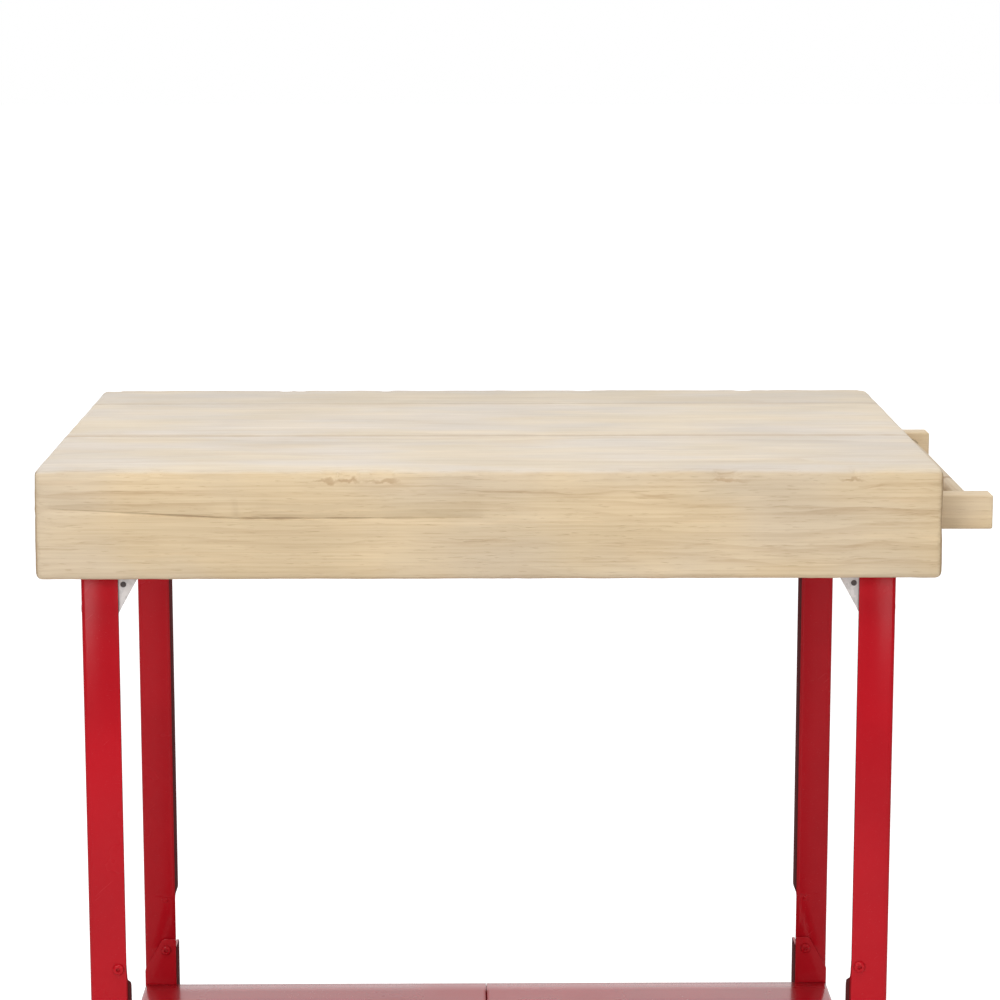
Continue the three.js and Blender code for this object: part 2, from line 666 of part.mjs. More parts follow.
// A folded tray covering one half of the shelf, cut round the front leg.
function tray(hand) {
  const legCut = stiffenerInner + GAP;
  const cutBack = frontPlate + LEG_DEPTH + GAP;
  const seam = legFace - GAP / 2;
  const bottom = SHELF_HEIGHT - TRAY_FOLD;
  const sheet = prismZ(mirrored([
    [legCut, frontPlate],
    [seam, frontPlate],
    [seam, trayRear],
    [0, trayRear],
    [0, cutBack],
    [legCut, cutBack],
  ], hand), SHELF_HEIGHT - TRAY_SHEET, SHELF_HEIGHT);
  const frontFold = block(
    [hand * legCut, frontPlate, bottom],
    [hand * seam, frontPlate + TRAY_SHEET, SHELF_HEIGHT],
  );
  const outerFold = block([0, cutBack, bottom], [hand * TRAY_SHEET, trayRear, SHELF_HEIGHT]);
  const seamFold = block(
    [hand * (seam - TRAY_SHEET), frontBeamLedge + GAP, bottom],
    [hand * seam, rearBeamLedge - GAP, SHELF_HEIGHT],
  );
  return carved([sheet, frontFold, outerFold, seamFold]);
}

function shelf() {
  const group = new THREE.Group();
  for (const [side, hand] of [['left', 1], ['right', -1]]) {
    const half = new THREE.Group();
    half.position.x = -hand * legFace;
    half.add(piece(`shelf_side_rail_${side}`, sideRail(hand), 'paint'));
    half.add(piece(`shelf_tray_${side}`, tray(hand), 'paint'));
    group.add(half);
  }
  group.add(piece('shelf_front_beam', beam({
    corner: frontBeamFace,
    ledge: frontBeamLedge,
    legPlate: frontPlate,
    inner: stiffenerInner,
  }), 'paint'));
  group.add(piece('shelf_rear_beam', beam({
    corner: tabBack,
    ledge: rearBeamLedge,
    legPlate: rearPlate,
    inner: LEG_WIDTH,
  }), 'paint'));
  return group;
}

// ---------------------------------------------------------------- hanging rail

function railBracket(centre) {
  const length = RAIL_REACH - GAP;
  const inward = -Math.sign(centre);
  const body = new RoundedBoxGeometry(
    length, RAIL_BRACKET_WIDTH, RAIL_BRACKET_HEIGHT, 2, RAIL_BRACKET_RADIUS,
  );
  body.translate(GAP + length / 2, 0, 0);
  const mouth = inward * RAIL_BRACKET_WIDTH / 2;
  const bore = rod(ROD_DIAMETER + 2 * ROD_CLEARANCE, -SOCKET_DEPTH, 1, ROD_SEGMENTS);
  const socket = along(bore, [0, inward, 0]);
  socket.translate(ROD_OFFSET, mouth, 0);
  const screws = railScrewPlaces.filter(({ y }) => Math.abs(y - centre) < RAIL_BRACKET_WIDTH);
  const holes = screws.flatMap(({ y, z }) => [
    clearanceHole(RAIL_SCREW, [1, 0, 0], [0, y - centre, z - rodHeight], RAIL_REACH),
    along(rod(RAIL_SCREW.head + 2 * GAP, -RAIL_SCREW.recess, 1), [1, 0, 0])
      .translate(RAIL_REACH, y - centre, z - rodHeight),
  ]);
  return carved([body], [socket, ...holes]);
}

function hangingRail() {
  const group = new THREE.Group();
  railCentres.forEach((centre) => {
    const bracket = piece(`rail_bracket_${centre < 0 ? 'front' : 'rear'}`, railBracket(centre), 'timber');
    group.add(placed(bracket, [halfLength, centre, rodHeight]));
  });
  railScrewPlaces.forEach(({ name, y, z }) => {
    const seat = halfLength + RAIL_REACH - RAIL_SCREW.recess + GAP;
    const screw = piece(`rail_screw_${name}`, screwGeometry(RAIL_SCREW), 'zinc');
    group.add(placed(screw, [seat, y, z], [1, 0, 0]));
  });
  const mouths = railCentres.map((centre) => centre - Math.sign(centre) * RAIL_BRACKET_WIDTH / 2);
  const span = mouths[1] - mouths[0];
  const rodLength = span + 2 * (SOCKET_DEPTH - 2 * ROD_CLEARANCE);
  const ease = 1;
  const radius = ROD_DIAMETER / 2;
  const bar = turned([
    [0, -rodLength / 2],
    [radius - ease, -rodLength / 2],
    [radius, -rodLength / 2 + ease],
    [radius, rodLength / 2 - ease],
    [radius - ease, rodLength / 2],
    [0, rodLength / 2],
  ], ROD_SEGMENTS);
  const middle = (mouths[0] + mouths[1]) / 2;
  group.add(placed(piece('hanging_rod', bar, 'timber'), [rodX, middle, rodHeight], [0, 1, 0]));
  return group;
}

// ---------------------------------------------------------------- the whole bench
// The origin lies on the floor under the middle of the whole object, rail included.

const workbench = new THREE.Group();
workbench.name = 'toy_workbench';
workbench.position.x = -RAIL_REACH / 2;
workbench.add(timberTop());
cornerPlaces.forEach((place) => workbench.add(corner(place)));
workbench.add(shelf());
workbench.add(hangingRail());

export default workbench;
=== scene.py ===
"""Looks of a toy workbench: jointed timber top, red pressed-steel legs and shelf, hanging rail.

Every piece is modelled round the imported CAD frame, in metres, with +X along the bench towards
the hanging rail, +Y from front to back and +Z up from the floor.
"""

import math
import random

import bmesh
import bpy
from mathutils import Matrix, Vector


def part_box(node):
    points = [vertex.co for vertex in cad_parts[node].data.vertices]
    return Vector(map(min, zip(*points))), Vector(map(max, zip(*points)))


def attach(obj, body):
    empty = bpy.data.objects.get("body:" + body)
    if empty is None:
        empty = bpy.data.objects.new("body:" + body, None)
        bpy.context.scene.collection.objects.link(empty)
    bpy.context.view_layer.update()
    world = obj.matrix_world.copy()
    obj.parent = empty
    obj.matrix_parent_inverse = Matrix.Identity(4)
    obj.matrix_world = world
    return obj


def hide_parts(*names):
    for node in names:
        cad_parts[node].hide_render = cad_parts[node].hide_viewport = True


bl_info = {
    "name": "Toy workbench",
    "version": (1, 0, 0),
    "blender": (4, 5, 0),
    "location": "3D View > Sidebar > Workbench",
    "description": "Models a child's workbench with a timber top, steel legs, a shelf and a rail",
    "category": "Add Mesh",
}

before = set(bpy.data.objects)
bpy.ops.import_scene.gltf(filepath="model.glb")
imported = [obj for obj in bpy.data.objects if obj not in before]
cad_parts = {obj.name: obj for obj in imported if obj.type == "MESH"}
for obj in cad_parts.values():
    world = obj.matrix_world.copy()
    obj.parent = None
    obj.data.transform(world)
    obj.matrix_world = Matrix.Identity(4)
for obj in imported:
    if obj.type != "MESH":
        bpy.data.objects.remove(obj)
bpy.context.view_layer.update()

MM = 0.001
# Points closer than this count as one.
NEAR = 0.01 * MM
# Clearance between pieces that fit together.
FIT = 0.3 * MM
SIDES = ("left", "right")
CORNERS = ("front_left", "front_right", "rear_left", "rear_right")
TOP_BOARDS = ("front", "middle", "rear")

SURFACE_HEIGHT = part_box("top_board_front")[1].z
UNDERSIDE_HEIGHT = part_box("top_board_front")[0].z
TOP_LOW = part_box("top_board_front")[0]
TOP_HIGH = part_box("top_board_rear")[1]
BENCH_MIDDLE = (TOP_LOW.x + TOP_HIGH.x) / 2
SHELF_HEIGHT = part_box("shelf_tray_left")[1].z
# Soil and dust that handling leaves on the paint, the zinc and the feet.
PAINT_DUST = (0.62, 0.50, 0.48, 1.0)
RUBBED_ZINC = (0.55, 0.54, 0.52, 1.0)
FLOOR_DUST = (0.30, 0.28, 0.26, 1.0)
FOOT_SPECKS = (0.35, 0.33, 0.31, 1.0)
# Chips in the top's front arris: distance from the left end and depth, in millimetres.
FRONT_CHIPS = ((196, 1.6), (210, 2.0), (228, 1.2), (236, 1.7), (462, 1.5), (470, 0.8), (548, 1.4))
# Size of the painted shade below each chip, and the chip depth at which that shade is darkest.
CHIP_HALF_LENGTH = 8 * MM
CHIP_HALF_HEIGHT = 1.3 * MM
CHIP_DROP = 7.5 * MM
CHIP_FULL_DEPTH = 3.0
# Cuts across a board's length, and rows across the width between its worn edges.
LENGTH_CUTS = 150
MIDDLE_ROWS = 7
# The drying check in the front face: (x, z) where it starts, turns and ends.
CHECK_LINE = (
    (TOP_LOW.x + 12 * MM, SURFACE_HEIGHT - 26 * MM),
    (TOP_LOW.x + 134 * MM, SURFACE_HEIGHT - 32.5 * MM),
    (TOP_LOW.x + 300 * MM, SURFACE_HEIGHT - 32.5 * MM),
)


# ------------------------------------------------------------------ settings


def length_setting(name, description, default, low=0.0):
    return bpy.props.FloatProperty(
        name=name, description=description, default=default, min=low, unit="LENGTH",
    )


def colour_setting(name, description, default):
    return bpy.props.FloatVectorProperty(
        name=name, description=description, default=default, min=0, max=1, subtype="COLOR",
    )


class TimberLook(bpy.types.PropertyGroup):
    """Sizes and colours of the timber top and the hanging rail."""

    pale: colour_setting("Pale wood", "Colour of the early wood", (0.70, 0.56, 0.378))
    dark: colour_setting("Dark wood", "Colour of the late wood and the streaks", (0.40, 0.245, 0.12))
    # Colour of the top face as painted light: lighter and paler than the front, where the lamps above fall on
    # it.
    lit_top: colour_setting("Lit top face", "Colour of the scrubbed upper face", (0.715, 0.625, 0.51))
    arris: length_setting("Arris radius", "Rounding of the top's outer edges", 4.5 * MM)
    seam_ease: length_setting("Seam ease", "Rounding of the edges that meet at a seam", 1.0 * MM)
    wobble: length_setting("Wobble", "Unevenness of the hand-worked edges", 2.6 * MM)
    check_depth: length_setting("Check depth", "Depth of the drying check in the front face", 0.8 * MM)
    ring_spacing: length_setting("Ring spacing", "Distance between growth rings", 5.5 * MM, low=0.5 * MM)


class SteelLook(bpy.types.PropertyGroup):
    """Sizes and colours of the painted pressings."""

    paint: colour_setting("Paint", "Colour of the powder coat", (0.50, 0.006, 0.014))
    leg_sheet: length_setting(
        "Leg sheet", "Thickness of the legs, stiffeners and rails", 2 * MM, low=0.5 * MM,
    )
    tray_sheet: length_setting("Tray sheet", "Thickness of the shelf trays", 1.6 * MM, low=0.5 * MM)
    fold_radius: length_setting("Fold radius", "Outside radius of a fold", 3 * MM)
    cut_ease: length_setting("Cut edge ease", "Rounding that the paint gives to a cut edge", 0.35 * MM)
    notch_rise: length_setting("Notch rise", "Shelf to the bottom of the rear legs' notch", 30 * MM)
    notch_height: length_setting("Notch height", "Height of the rear legs' notch", 44.5 * MM)
    spare_hole_rise: length_setting("Spare hole rise", "Shelf to the open hole in a rear leg", 70.5 * MM)
    spare_hole_inset: length_setting("Spare hole inset", "Leg's inner edge to the open hole", 8 * MM)
    spare_hole: length_setting("Spare hole", "Diameter of the open hole", 3.4 * MM)
    stiffener_flange_rise: length_setting(
        "Stiffener flange rise", "Shelf to the top of a stiffener's flange", 111 * MM,
    )
    stiffener_flange_slope: length_setting(
        "Stiffener flange slope", "Rise of that top from the flange's edge to its fold", 10 * MM,
    )
    tab_inner_rise: length_setting("Tab inner rise", "Shelf to the high end of a side rail's tab", 38 * MM)
    tab_outer_rise: length_setting("Tab outer rise", "Shelf to the low end of a side rail's tab", 12.5 * MM)
    tab_top: length_setting("Tab top", "Level part of the tab's top edge", 11 * MM)
    beam_tab: length_setting("Beam tab", "Height of a beam's folded ends", 12 * MM)
    ledge: length_setting("Rail ledge", "Width of the rails' and beams' ledges", 20 * MM)


class HardwareLook(bpy.types.PropertyGroup):
    """Sizes and colours of the feet and the fasteners."""

    zinc: colour_setting("Zinc", "Colour of the zinc plate", (0.70, 0.66, 0.645))
    rubber: colour_setting("Rubber", "Colour of the feet", (0.022, 0.022, 0.024))
    # Colour of the dark plugs in the brackets' holes: painted shade where the holes show shade.
    nylon: colour_setting("Nylon", "Colour of the plugs in the brackets", (0.085, 0.07, 0.07))
    foot_pad: length_setting("Foot pad", "Thickness of a foot under its leg", 6 * MM)
    shank: length_setting("Shank", "Diameter of the fasteners' shanks", 4 * MM)


class StudioLook(bpy.types.PropertyGroup):
    """Camera, lights and floor."""

    lens: bpy.props.FloatProperty(
        name="Lens", description="Focal length", default=107.8, min=1, unit="CAMERA",
    )
    stand_off: length_setting("Stand-off", "Front edge of the top to the camera", 1.9733)
    eye_rise: length_setting("Eye rise", "Work surface to the camera", 0.3216, low=-1.0)
    eye_shift: length_setting("Eye shift", "Middle of the top to the camera, to the right", -0.0153, low=-1.0)
    tilt: bpy.props.FloatProperty(
        name="Tilt", description="Camera's angle below the horizon",
        default=math.radians(9.83), subtype="ANGLE",
    )
    turn: bpy.props.FloatProperty(
        name="Turn", description="Camera's angle to the right of straight on",
        default=math.radians(0.65), subtype="ANGLE",
    )
    floor: colour_setting("Floor", "Colour of the floor", (0.68, 0.68, 0.68))
    floor_glow: bpy.props.FloatProperty(
        name="Floor glow", description="Extra brightness of the floor in the picture", default=0.7, min=0,
    )
    sky_front: bpy.props.FloatProperty(
        name="Front sky", description="Strength of the even light from the camera's side",
        default=0.19, min=0,
    )
    sky_back: bpy.props.FloatProperty(
        name="Back sky", description="Strength of the even light from behind the bench",
        default=1.15, min=0,
    )
    sky_sides: bpy.props.FloatProperty(
        name="Side flags", description="Share of the even light that comes from the two sides",
        default=0.35, min=0, max=1, subtype="FACTOR",
    )
    overhead: bpy.props.FloatProperty(
        name="Overhead", description="Power of the light above and before the bench",
        default=18, min=0, unit="POWER",
    )
    front: bpy.props.FloatProperty(
        name="Front", description="Power of the two lights beside the camera",
        default=32, min=0, unit="POWER",
    )


# ------------------------------------------------------------------ modelling helpers


def start_clean():
    """Goes to object mode with nothing selected."""
    if bpy.context.object is not None and bpy.context.object.mode != "OBJECT":
        bpy.ops.object.mode_set(mode="OBJECT")
    bpy.ops.object.select_all(action="DESELECT")


def take(piece):
    """Makes piece the one selected and active object."""
    start_clean()
    piece.select_set(True)
    bpy.context.view_layer.objects.active = piece
    return piece


def settle(piece, name):
    """Names a new primitive and puts its place, turn and size into its mesh."""
    take(piece)
    piece.name = name
    piece.data.name = name
    bpy.ops.object.transform_apply(location=True, rotation=True, scale=True)
    return piece


def new_box(name, low, high):
    start_clean()
    low, high = Vector(low), Vector(high)
    bpy.ops.mesh.primitive_cube_add(size=1, location=(low + high) / 2, scale=high - low)
    return settle(bpy.context.object, name)


def new_plate(name, low, high):
    """A flat rectangle; low and high differ along two axes only, and it faces out at the front,
    up, or to the left."""
    start_clean()
    low, high = Vector(low), Vector(high)
    span = high - low
    if abs(span.y) < 1e-9:
        turn, scale = (math.pi / 2, 0, 0), (span.x, span.z, 1)
    elif abs(span.z) < 1e-9:
        turn, scale = (0, 0, 0), (span.x, span.y, 1)
    else:
        turn, scale = (0, -math.pi / 2, 0), (span.z, span.y, 1)
    bpy.ops.mesh.primitive_plane_add(size=1, location=(low + high) / 2, rotation=turn)
    bpy.context.object.scale = scale
    return settle(bpy.context.object, name)


def new_round(name, radius, low, high, segments=32):
    """A cylinder between two points on its axis."""
    start_clean()
    low, high = Vector(low), Vector(high)
    axis = high - low
    bpy.ops.mesh.primitive_cylinder_add(
        vertices=segments, radius=radius, depth=axis.length, location=(low + high) / 2,
    )
    bpy.context.object.rotation_mode = "QUATERNION"
    bpy.context.object.rotation_quaternion = axis.to_track_quat("Z", "Y")
    return settle(bpy.context.object, name)


def edit(piece):
    take(piece)
    bpy.ops.object.mode_set(mode="EDIT")


def done():
    bpy.ops.object.mode_set(mode="OBJECT")


def choose(piece, kind, test):
    """Selects the vertices, edges or faces whose own points all pass the test."""
    bpy.ops.mesh.select_mode(type=kind)
    bpy.ops.mesh.select_all(action="DESELECT")
    shape = bmesh.from_edit_mesh(piece.data)
    if kind == "VERT":
        for vertex in shape.verts:
            vertex.select_set(bool(test(vertex.co)))
    elif kind == "EDGE":
        for line in shape.edges:
            line.select_set(all(test(vertex.co) for vertex in line.verts))
    else:
        for face in shape.faces:
            face.select_set(all(test(vertex.co) for vertex in face.verts))
    bmesh.update_edit_mesh(piece.data)


def choose_lines(piece, test):
    """Selects the edges whose two ends pass the test together."""
    choose(piece, "EDGE", lambda point: False)
    shape = bmesh.from_edit_mesh(piece.data)
    for line in shape.edges:
        a, b = (vertex.co for vertex in line.verts)
        line.select_set(bool(test(a, b)))
    bmesh.update_edit_mesh(piece.data)


def near(a, b):
    return abs(a - b) < NEAR


def at(x=None, y=None, z=None, above=-math.inf, below=math.inf):
    """A test for points with these coordinates, between these heights."""
    wanted = [(axis, value) for axis, value in enumerate((x, y, z)) if value is not None]
    return lambda point: above - NEAR < point.z < below + NEAR and all(
        near(point[axis], value) for axis, value in wanted
    )


def upright(a, b):
    return near(a.x, b.x) and near(a.y, b.y)


def whole_length(a, b):
    """Whether an edge runs along the bench for nearly the length of a board."""
    return abs((a - b).normalized().x) > 0.99 and (a - b).length > 300 * MM


def extrude(offset):
    bpy.ops.mesh.extrude_region_move(TRANSFORM_OT_translate={"value": tuple(offset)})


def slice_at(point, normal):
    """Cuts the whole piece along a plane, and leaves both sides."""
    bpy.ops.mesh.select_all(action="SELECT")
    bpy.ops.mesh.bisect(plane_co=tuple(point), plane_no=tuple(normal))


def finish_modifier(piece, kind, **values):
    """Adds a modifier with these values and applies it."""
    take(piece)
    modifier = piece.modifiers.new(kind.title(), kind)
    for key, value in values.items():
        setattr(modifier, key, value)
    bpy.ops.object.modifier_apply(modifier=modifier.name)


def cut_away(piece, *cutters):
    """Cuts the closed shapes away from piece, and removes them."""
    for cutter in cutters:
        finish_modifier(piece, "BOOLEAN", object=cutter, operation="DIFFERENCE", solver="EXACT")
        bpy.data.objects.remove(cutter)


def unite(piece, *others):
    for other in others:
        finish_modifier(piece, "BOOLEAN", object=other, operation="UNION", solver="EXACT")
        bpy.data.objects.remove(other)


def smooth(piece, degrees=35):
    take(piece)
    bpy.ops.object.shade_smooth_by_angle(angle=math.radians(degrees))


def hand_over(piece, material, nodes, body="bench"):
    """Gives a finished piece its material, and puts it in the place of its CAD nodes."""
    piece.data.materials.clear()
    piece.data.materials.append(material)
    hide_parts(*nodes)
    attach(piece, body)
    return piece


def dress(node, material, ease=0.0):
    """Keeps a CAD node: cleans its surface, eases its edges and gives it a material."""
    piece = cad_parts[node]
    piece.data.materials.clear()
    piece.data.materials.append(None)
    piece.material_slots[0].link = "OBJECT"
    piece.material_slots[0].material = material
    weld = piece.modifiers.new("Weld", "WELD")
    weld.merge_threshold = 0.01 * MM
    flat = piece.modifiers.new("Flat faces", "DECIMATE")
    flat.decimate_type = "DISSOLVE"
    flat.angle_limit = math.radians(1)
    if ease > 0:
        bevel = piece.modifiers.new("Eased edges", "BEVEL")
        bevel.width = ease
        bevel.segments = 2
        bevel.limit_method = "ANGLE"
        bevel.angle_limit = math.radians(40)
        bevel.harden_normals = False
    return piece


def press(piece, sheet, folds, radius, ease):
    """Rounds the folds of a bent sheet, gives it its thickness and eases its cut edges."""
    edit(piece)
    for fold in folds:
        choose(piece, "EDGE", fold)
        bpy.ops.mesh.bevel(offset=radius, segments=5, affect="EDGES")
    done()
    finish_modifier(
        piece, "SOLIDIFY", thickness=sheet, offset=-1, use_even_offset=True,
    )
    ease_edges(piece, ease)


def ease_edges(piece, ease, degrees=50, segments=2):
    finish_modifier(
        piece, "BEVEL", width=ease, segments=segments, limit_method="ANGLE",
        angle_limit=math.radians(degrees), use_clamp_overlap=True,
    )
    smooth(piece)


def inner_sign(corner_or_side):
    """+1 where inwards is +X, at the left end of the bench."""
    return 1 if corner_or_side.endswith("left") else -1


def outer_and_inner(low, high, hand):
    return (low.x, high.x) if hand > 0 else (high.x, low.x)


# ------------------------------------------------------------------ material helpers


class Tree:
    """A shader tree being wired."""

    def __init__(self, tree):
        self.tree = tree

    def add(self, kind, **settings):
        made = self.tree.nodes.new(kind)
        for key, value in settings.items():
            setattr(made, key, value)
        return made

    def feed(self, socket, value):
        """Links value to a socket if it is an output, or sets it on the socket."""
        if isinstance(value, bpy.types.NodeSocket):
            self.tree.links.new(value, socket)
        else:
            socket.default_value = value

    def math(self, operation, *values):
        made = self.add("ShaderNodeMath", operation=operation)
        for socket, value in zip(made.inputs, values):
            self.feed(socket, value)
        return made.outputs[0]

    def times(self, a, b):
        return self.math("MULTIPLY", a, b)

    def minus(self, a, b):
        return self.math("SUBTRACT", a, b)

    def gap(self, a, b):
        """The distance between two values."""
        return self.math("ABSOLUTE", self.minus(a, b))

    def vector(self, operation, a, b=(0, 0, 0)):
        made = self.add("ShaderNodeVectorMath", operation=operation)
        self.feed(made.inputs[0], a)
        self.feed(made.inputs[1], b)
        return made.outputs["Value" if operation == "LENGTH" else "Vector"]

    def noise(self, vector, scale=1.0, detail=2.0, roughness=0.5):
        made = self.add("ShaderNodeTexNoise")
        self.feed(made.inputs["Vector"], vector)
        self.feed(made.inputs["Scale"], scale)
        made.inputs["Detail"].default_value = detail
        made.inputs["Roughness"].default_value = roughness
        return made.outputs["Fac"]

    def stretched_noise(self, vector, pitch, detail=2.0, roughness=0.5):
        """Noise with its own pitch along each axis."""
        return self.noise(self.vector("MULTIPLY", vector, pitch), 1.0, detail, roughness)

    def spread(self, value, low, high, to_low=0.0, to_high=1.0):
        """Maps low..high to to_low..to_high, with soft ends."""
        made = self.add("ShaderNodeMapRange", interpolation_type="SMOOTHSTEP")
        for name, number in (
            ("Value", value), ("From Min", low), ("From Max", high),
            ("To Min", to_low), ("To Max", to_high),
        ):
            self.feed(made.inputs[name], number)
        return made.outputs["Result"]

    def blend(self, share, a, b, way="MIX"):
        made = self.add("ShaderNodeMix", data_type="RGBA", blend_type=way)
        self.feed(made.inputs["Factor"], share)
        self.feed(made.inputs[6], a)
        self.feed(made.inputs[7], b)
        return made.outputs[2]

    def split(self, vector):
        made = self.add("ShaderNodeSeparateXYZ")
        self.feed(made.inputs[0], vector)
        return made.outputs

    def merge(self, x, y, z):
        made = self.add("ShaderNodeCombineXYZ")
        for socket, value in zip(made.inputs, (x, y, z)):
            self.feed(socket, value)
        return made.outputs[0]

    def tinted(self, colour, tone):
        """The colour times a tone, or times one tone for each channel."""
        tones = tone if isinstance(tone, tuple) else (tone, tone, tone)
        return self.blend(1.0, colour, self.merge(*tones), "MULTIPLY")


def new_group(name, inputs, outputs):
    """A shader node group with named sockets. Returns it, its wiring and its input sockets."""
    group = bpy.data.node_groups.new(name, "ShaderNodeTree")
    for label, kind, default in inputs:
        socket = group.interface.new_socket(name=label, in_out="INPUT", socket_type=kind)
        if default is not None:
            socket.default_value = default
    for label, kind in outputs:
        group.interface.new_socket(name=label, in_out="OUTPUT", socket_type=kind)
    tree = Tree(group)
    return group, tree, tree.add("NodeGroupInput").outputs, tree.add("NodeGroupOutput").inputs


def timber_group():
    """Grain of sawn wood that runs along X: rings, fibres, pores and dark streaks."""
    group, tree, given, out = new_group(
        "Timber grain",
        [
            ("Vector", "NodeSocketVector", None),
            ("Pale", "NodeSocketColor", (0.7, 0.55, 0.35, 1)),
            ("Dark", "NodeSocketColor", (0.4, 0.25, 0.12, 1)),
            ("Ring Spacing", "NodeSocketFloat", 0.006),
            ("Figure", "NodeSocketFloat", 0.02),
            ("Streaks", "NodeSocketFloat", 0.5),
            ("Contrast", "NodeSocketFloat", 0.5),
        ],
        [
            ("Color", "NodeSocketColor"),
            ("Roughness", "NodeSocketFloat"),
            ("Height", "NodeSocketFloat"),
        ],
    )
    place = given["Vector"]
    contrast = given["Contrast"]
    drift = tree.minus(tree.stretched_noise(place, (1.6, 7, 7), 3.0, 0.55), 0.5)
    waver = tree.minus(tree.stretched_noise(place, (14, 30, 30)), 0.5)

    # Growth rings: a sawtooth of the distance from the heart, bent by the two noises.
    _, across, up = tree.split(place)
    radius = tree.vector("LENGTH", tree.merge(0.0, across, up))
    bent = tree.math("MULTIPLY_ADD", drift, given["Figure"], radius)
    wavy = tree.math("MULTIPLY_ADD", waver, 2.2 * MM, bent)
    turns = tree.math("DIVIDE", wavy, given["Ring Spacing"])
    saw = tree.math("FRACT", turns)
    late = tree.times(tree.spread(saw, 0.35, 0.95), tree.spread(saw, 1.0, 0.95))
    year = tree.noise(tree.merge(tree.math("FLOOR", turns), 0.37, 0.11), 0.73, 1.0)
    shown = tree.spread(tree.stretched_noise(place, (5, 24, 24)), 0.36, 0.66, 0.2, 1.0)
    rings = tree.times(late, tree.spread(year, 0.3, 0.7, 0.15, 1.0))
    rings = tree.times(rings, shown)

    # Fibres, pores and streaks: noises that are long along the grain and fine across it.
    fibre = tree.stretched_noise(place, (9, 620, 620), 4.0, 0.62)
    hair = tree.stretched_noise(place, (40, 2300, 2300))
    pores = tree.spread(tree.stretched_noise(place, (95, 1300, 1300), 1.0), 0.62, 0.76)
    push = tree.times(waver, 12 * MM)
    pushed = tree.vector("ADD", place, tree.merge(0.0, push, push))
    streak_noise = tree.stretched_noise(pushed, (3.2, 120, 120), 4.0, 0.62)
    streaks = tree.spread(streak_noise, 0.56, 0.76)
    light_streaks = tree.spread(streak_noise, 0.44, 0.28)

    colour = given["Pale"]
    for mask, share in ((rings, 0.34), (tree.spread(fibre, 0.38, 0.72), 0.22), (pores, 0.30)):
        colour = tree.blend(tree.times(mask, tree.times(contrast, share)), colour, given["Dark"])
    colour = tree.blend(tree.times(streaks, given["Streaks"]), colour, given["Dark"])
    patch = tree.spread(tree.stretched_noise(place, (9, 26, 26), 3.0), 0.3, 0.7, 0.94, 1.05)
    tone = tree.math("ADD", patch, tree.times(light_streaks, 0.07))
    hue = tree.stretched_noise(place, (7, 19, 15))
    warm = tree.spread(hue, 0.35, 0.65, 0.98, 1.02)
    cool = tree.spread(hue, 0.35, 0.65, 1.05, 0.94)
    tree.feed(out["Color"], tree.tinted(colour, (tree.times(tone, warm), tone, tree.times(tone, cool))))
    tree.feed(out["Roughness"], tree.spread(fibre, 0.3, 0.7, 0.50, 0.68))
    relief = tree.math("MULTIPLY_ADD", fibre, 0.5, tree.times(hair, 0.2))
    relief = tree.minus(relief, tree.times(pores, 0.5))
    tree.feed(out["Height"], tree.minus(relief, tree.times(rings, 0.25)))
    return group


def wear_group():
    """Handling marks: rubbed patches, fine scratches and specks of dust."""
    group, tree, given, out = new_group(
        "Handling marks",
        [
            ("Vector", "NodeSocketVector", None),
            ("Scratch Length", "NodeSocketFloat", 0.05),
            ("Amount", "NodeSocketFloat", 0.5),
        ],
        [
            ("Rub", "NodeSocketFloat"),
            ("Scratch", "NodeSocketFloat"),
            ("Dust", "NodeSocketFloat"),
        ],
    )
    place = given["Vector"]
    amount = given["Amount"]
    rub = tree.spread(tree.noise(place, 11.0, 4.0, 0.6), 0.42, 0.72)
    tree.feed(out["Rub"], tree.times(rub, amount))
    length = tree.math("DIVIDE", 1.0, given["Scratch Length"])
    lines = []
    for turn, sideways in ((0.4, 900.0), (-0.7, 1100.0)):
        mapping = tree.add("ShaderNodeMapping")
        tree.feed(mapping.inputs["Vector"], place)
        mapping.inputs["Rotation"].default_value = (turn, turn * 1.7, turn * 0.6)
        stretched = tree.vector("MULTIPLY", mapping.outputs[0], tree.merge(length, sideways, sideways))
        lines.append(tree.spread(tree.noise(stretched, 1.0, 1.0), 0.73, 0.77))
    broken = tree.spread(tree.noise(place, 26.0, 2.0), 0.52, 0.62)
    scratch = tree.times(tree.math("MAXIMUM", *lines), broken)
    tree.feed(out["Scratch"], tree.times(scratch, amount))
    dust = tree.spread(tree.noise(place, 1400.0, 1.0), 0.70, 0.78)
    tree.feed(out["Dust"], tree.times(dust, amount))
    return group


def coat_group():
    """Surface of a powder coat: orange peel and the slow waves of the sheet under it."""
    group, tree, given, out = new_group(
        "Powder coat",
        [
            ("Vector", "NodeSocketVector", None),
            ("Peel Size", "NodeSocketFloat", 1.6 * MM),
            ("Peel", "NodeSocketFloat", 0.5),
            ("Waves", "NodeSocketFloat", 0.5),
        ],
        [("Height", "NodeSocketFloat"), ("Shade", "NodeSocketFloat")],
    )
    place = given["Vector"]
    fine = tree.noise(place, tree.math("DIVIDE", 1.0, given["Peel Size"]), 2.0, 0.5)
    slow = tree.noise(place, 16.0, 2.0, 0.4)
    height = tree.times(fine, given["Peel"])
    height = tree.math("ADD", height, tree.times(slow, given["Waves"]))
    tree.feed(out["Height"], height)
    shade = tree.noise(place, 7.0, 3.0, 0.55)
    tree.feed(out["Shade"], tree.spread(shade, 0.3, 0.7, 0.90, 1.06))
    return group


GROUP_MAKERS = {
    "Timber grain": timber_group,
    "Handling marks": wear_group,
    "Powder coat": coat_group,
}


def new_material(name):
    """A material with its Principled BSDF. Returns it, its wiring, the shader and the place."""
    material = bpy.data.materials.new(name)
    material.use_nodes = True
    tree = Tree(material.node_tree)
    shader = material.node_tree.nodes["Principled BSDF"]
    place = tree.add("ShaderNodeTexCoord").outputs["Object"]
    return material, tree, shader, place


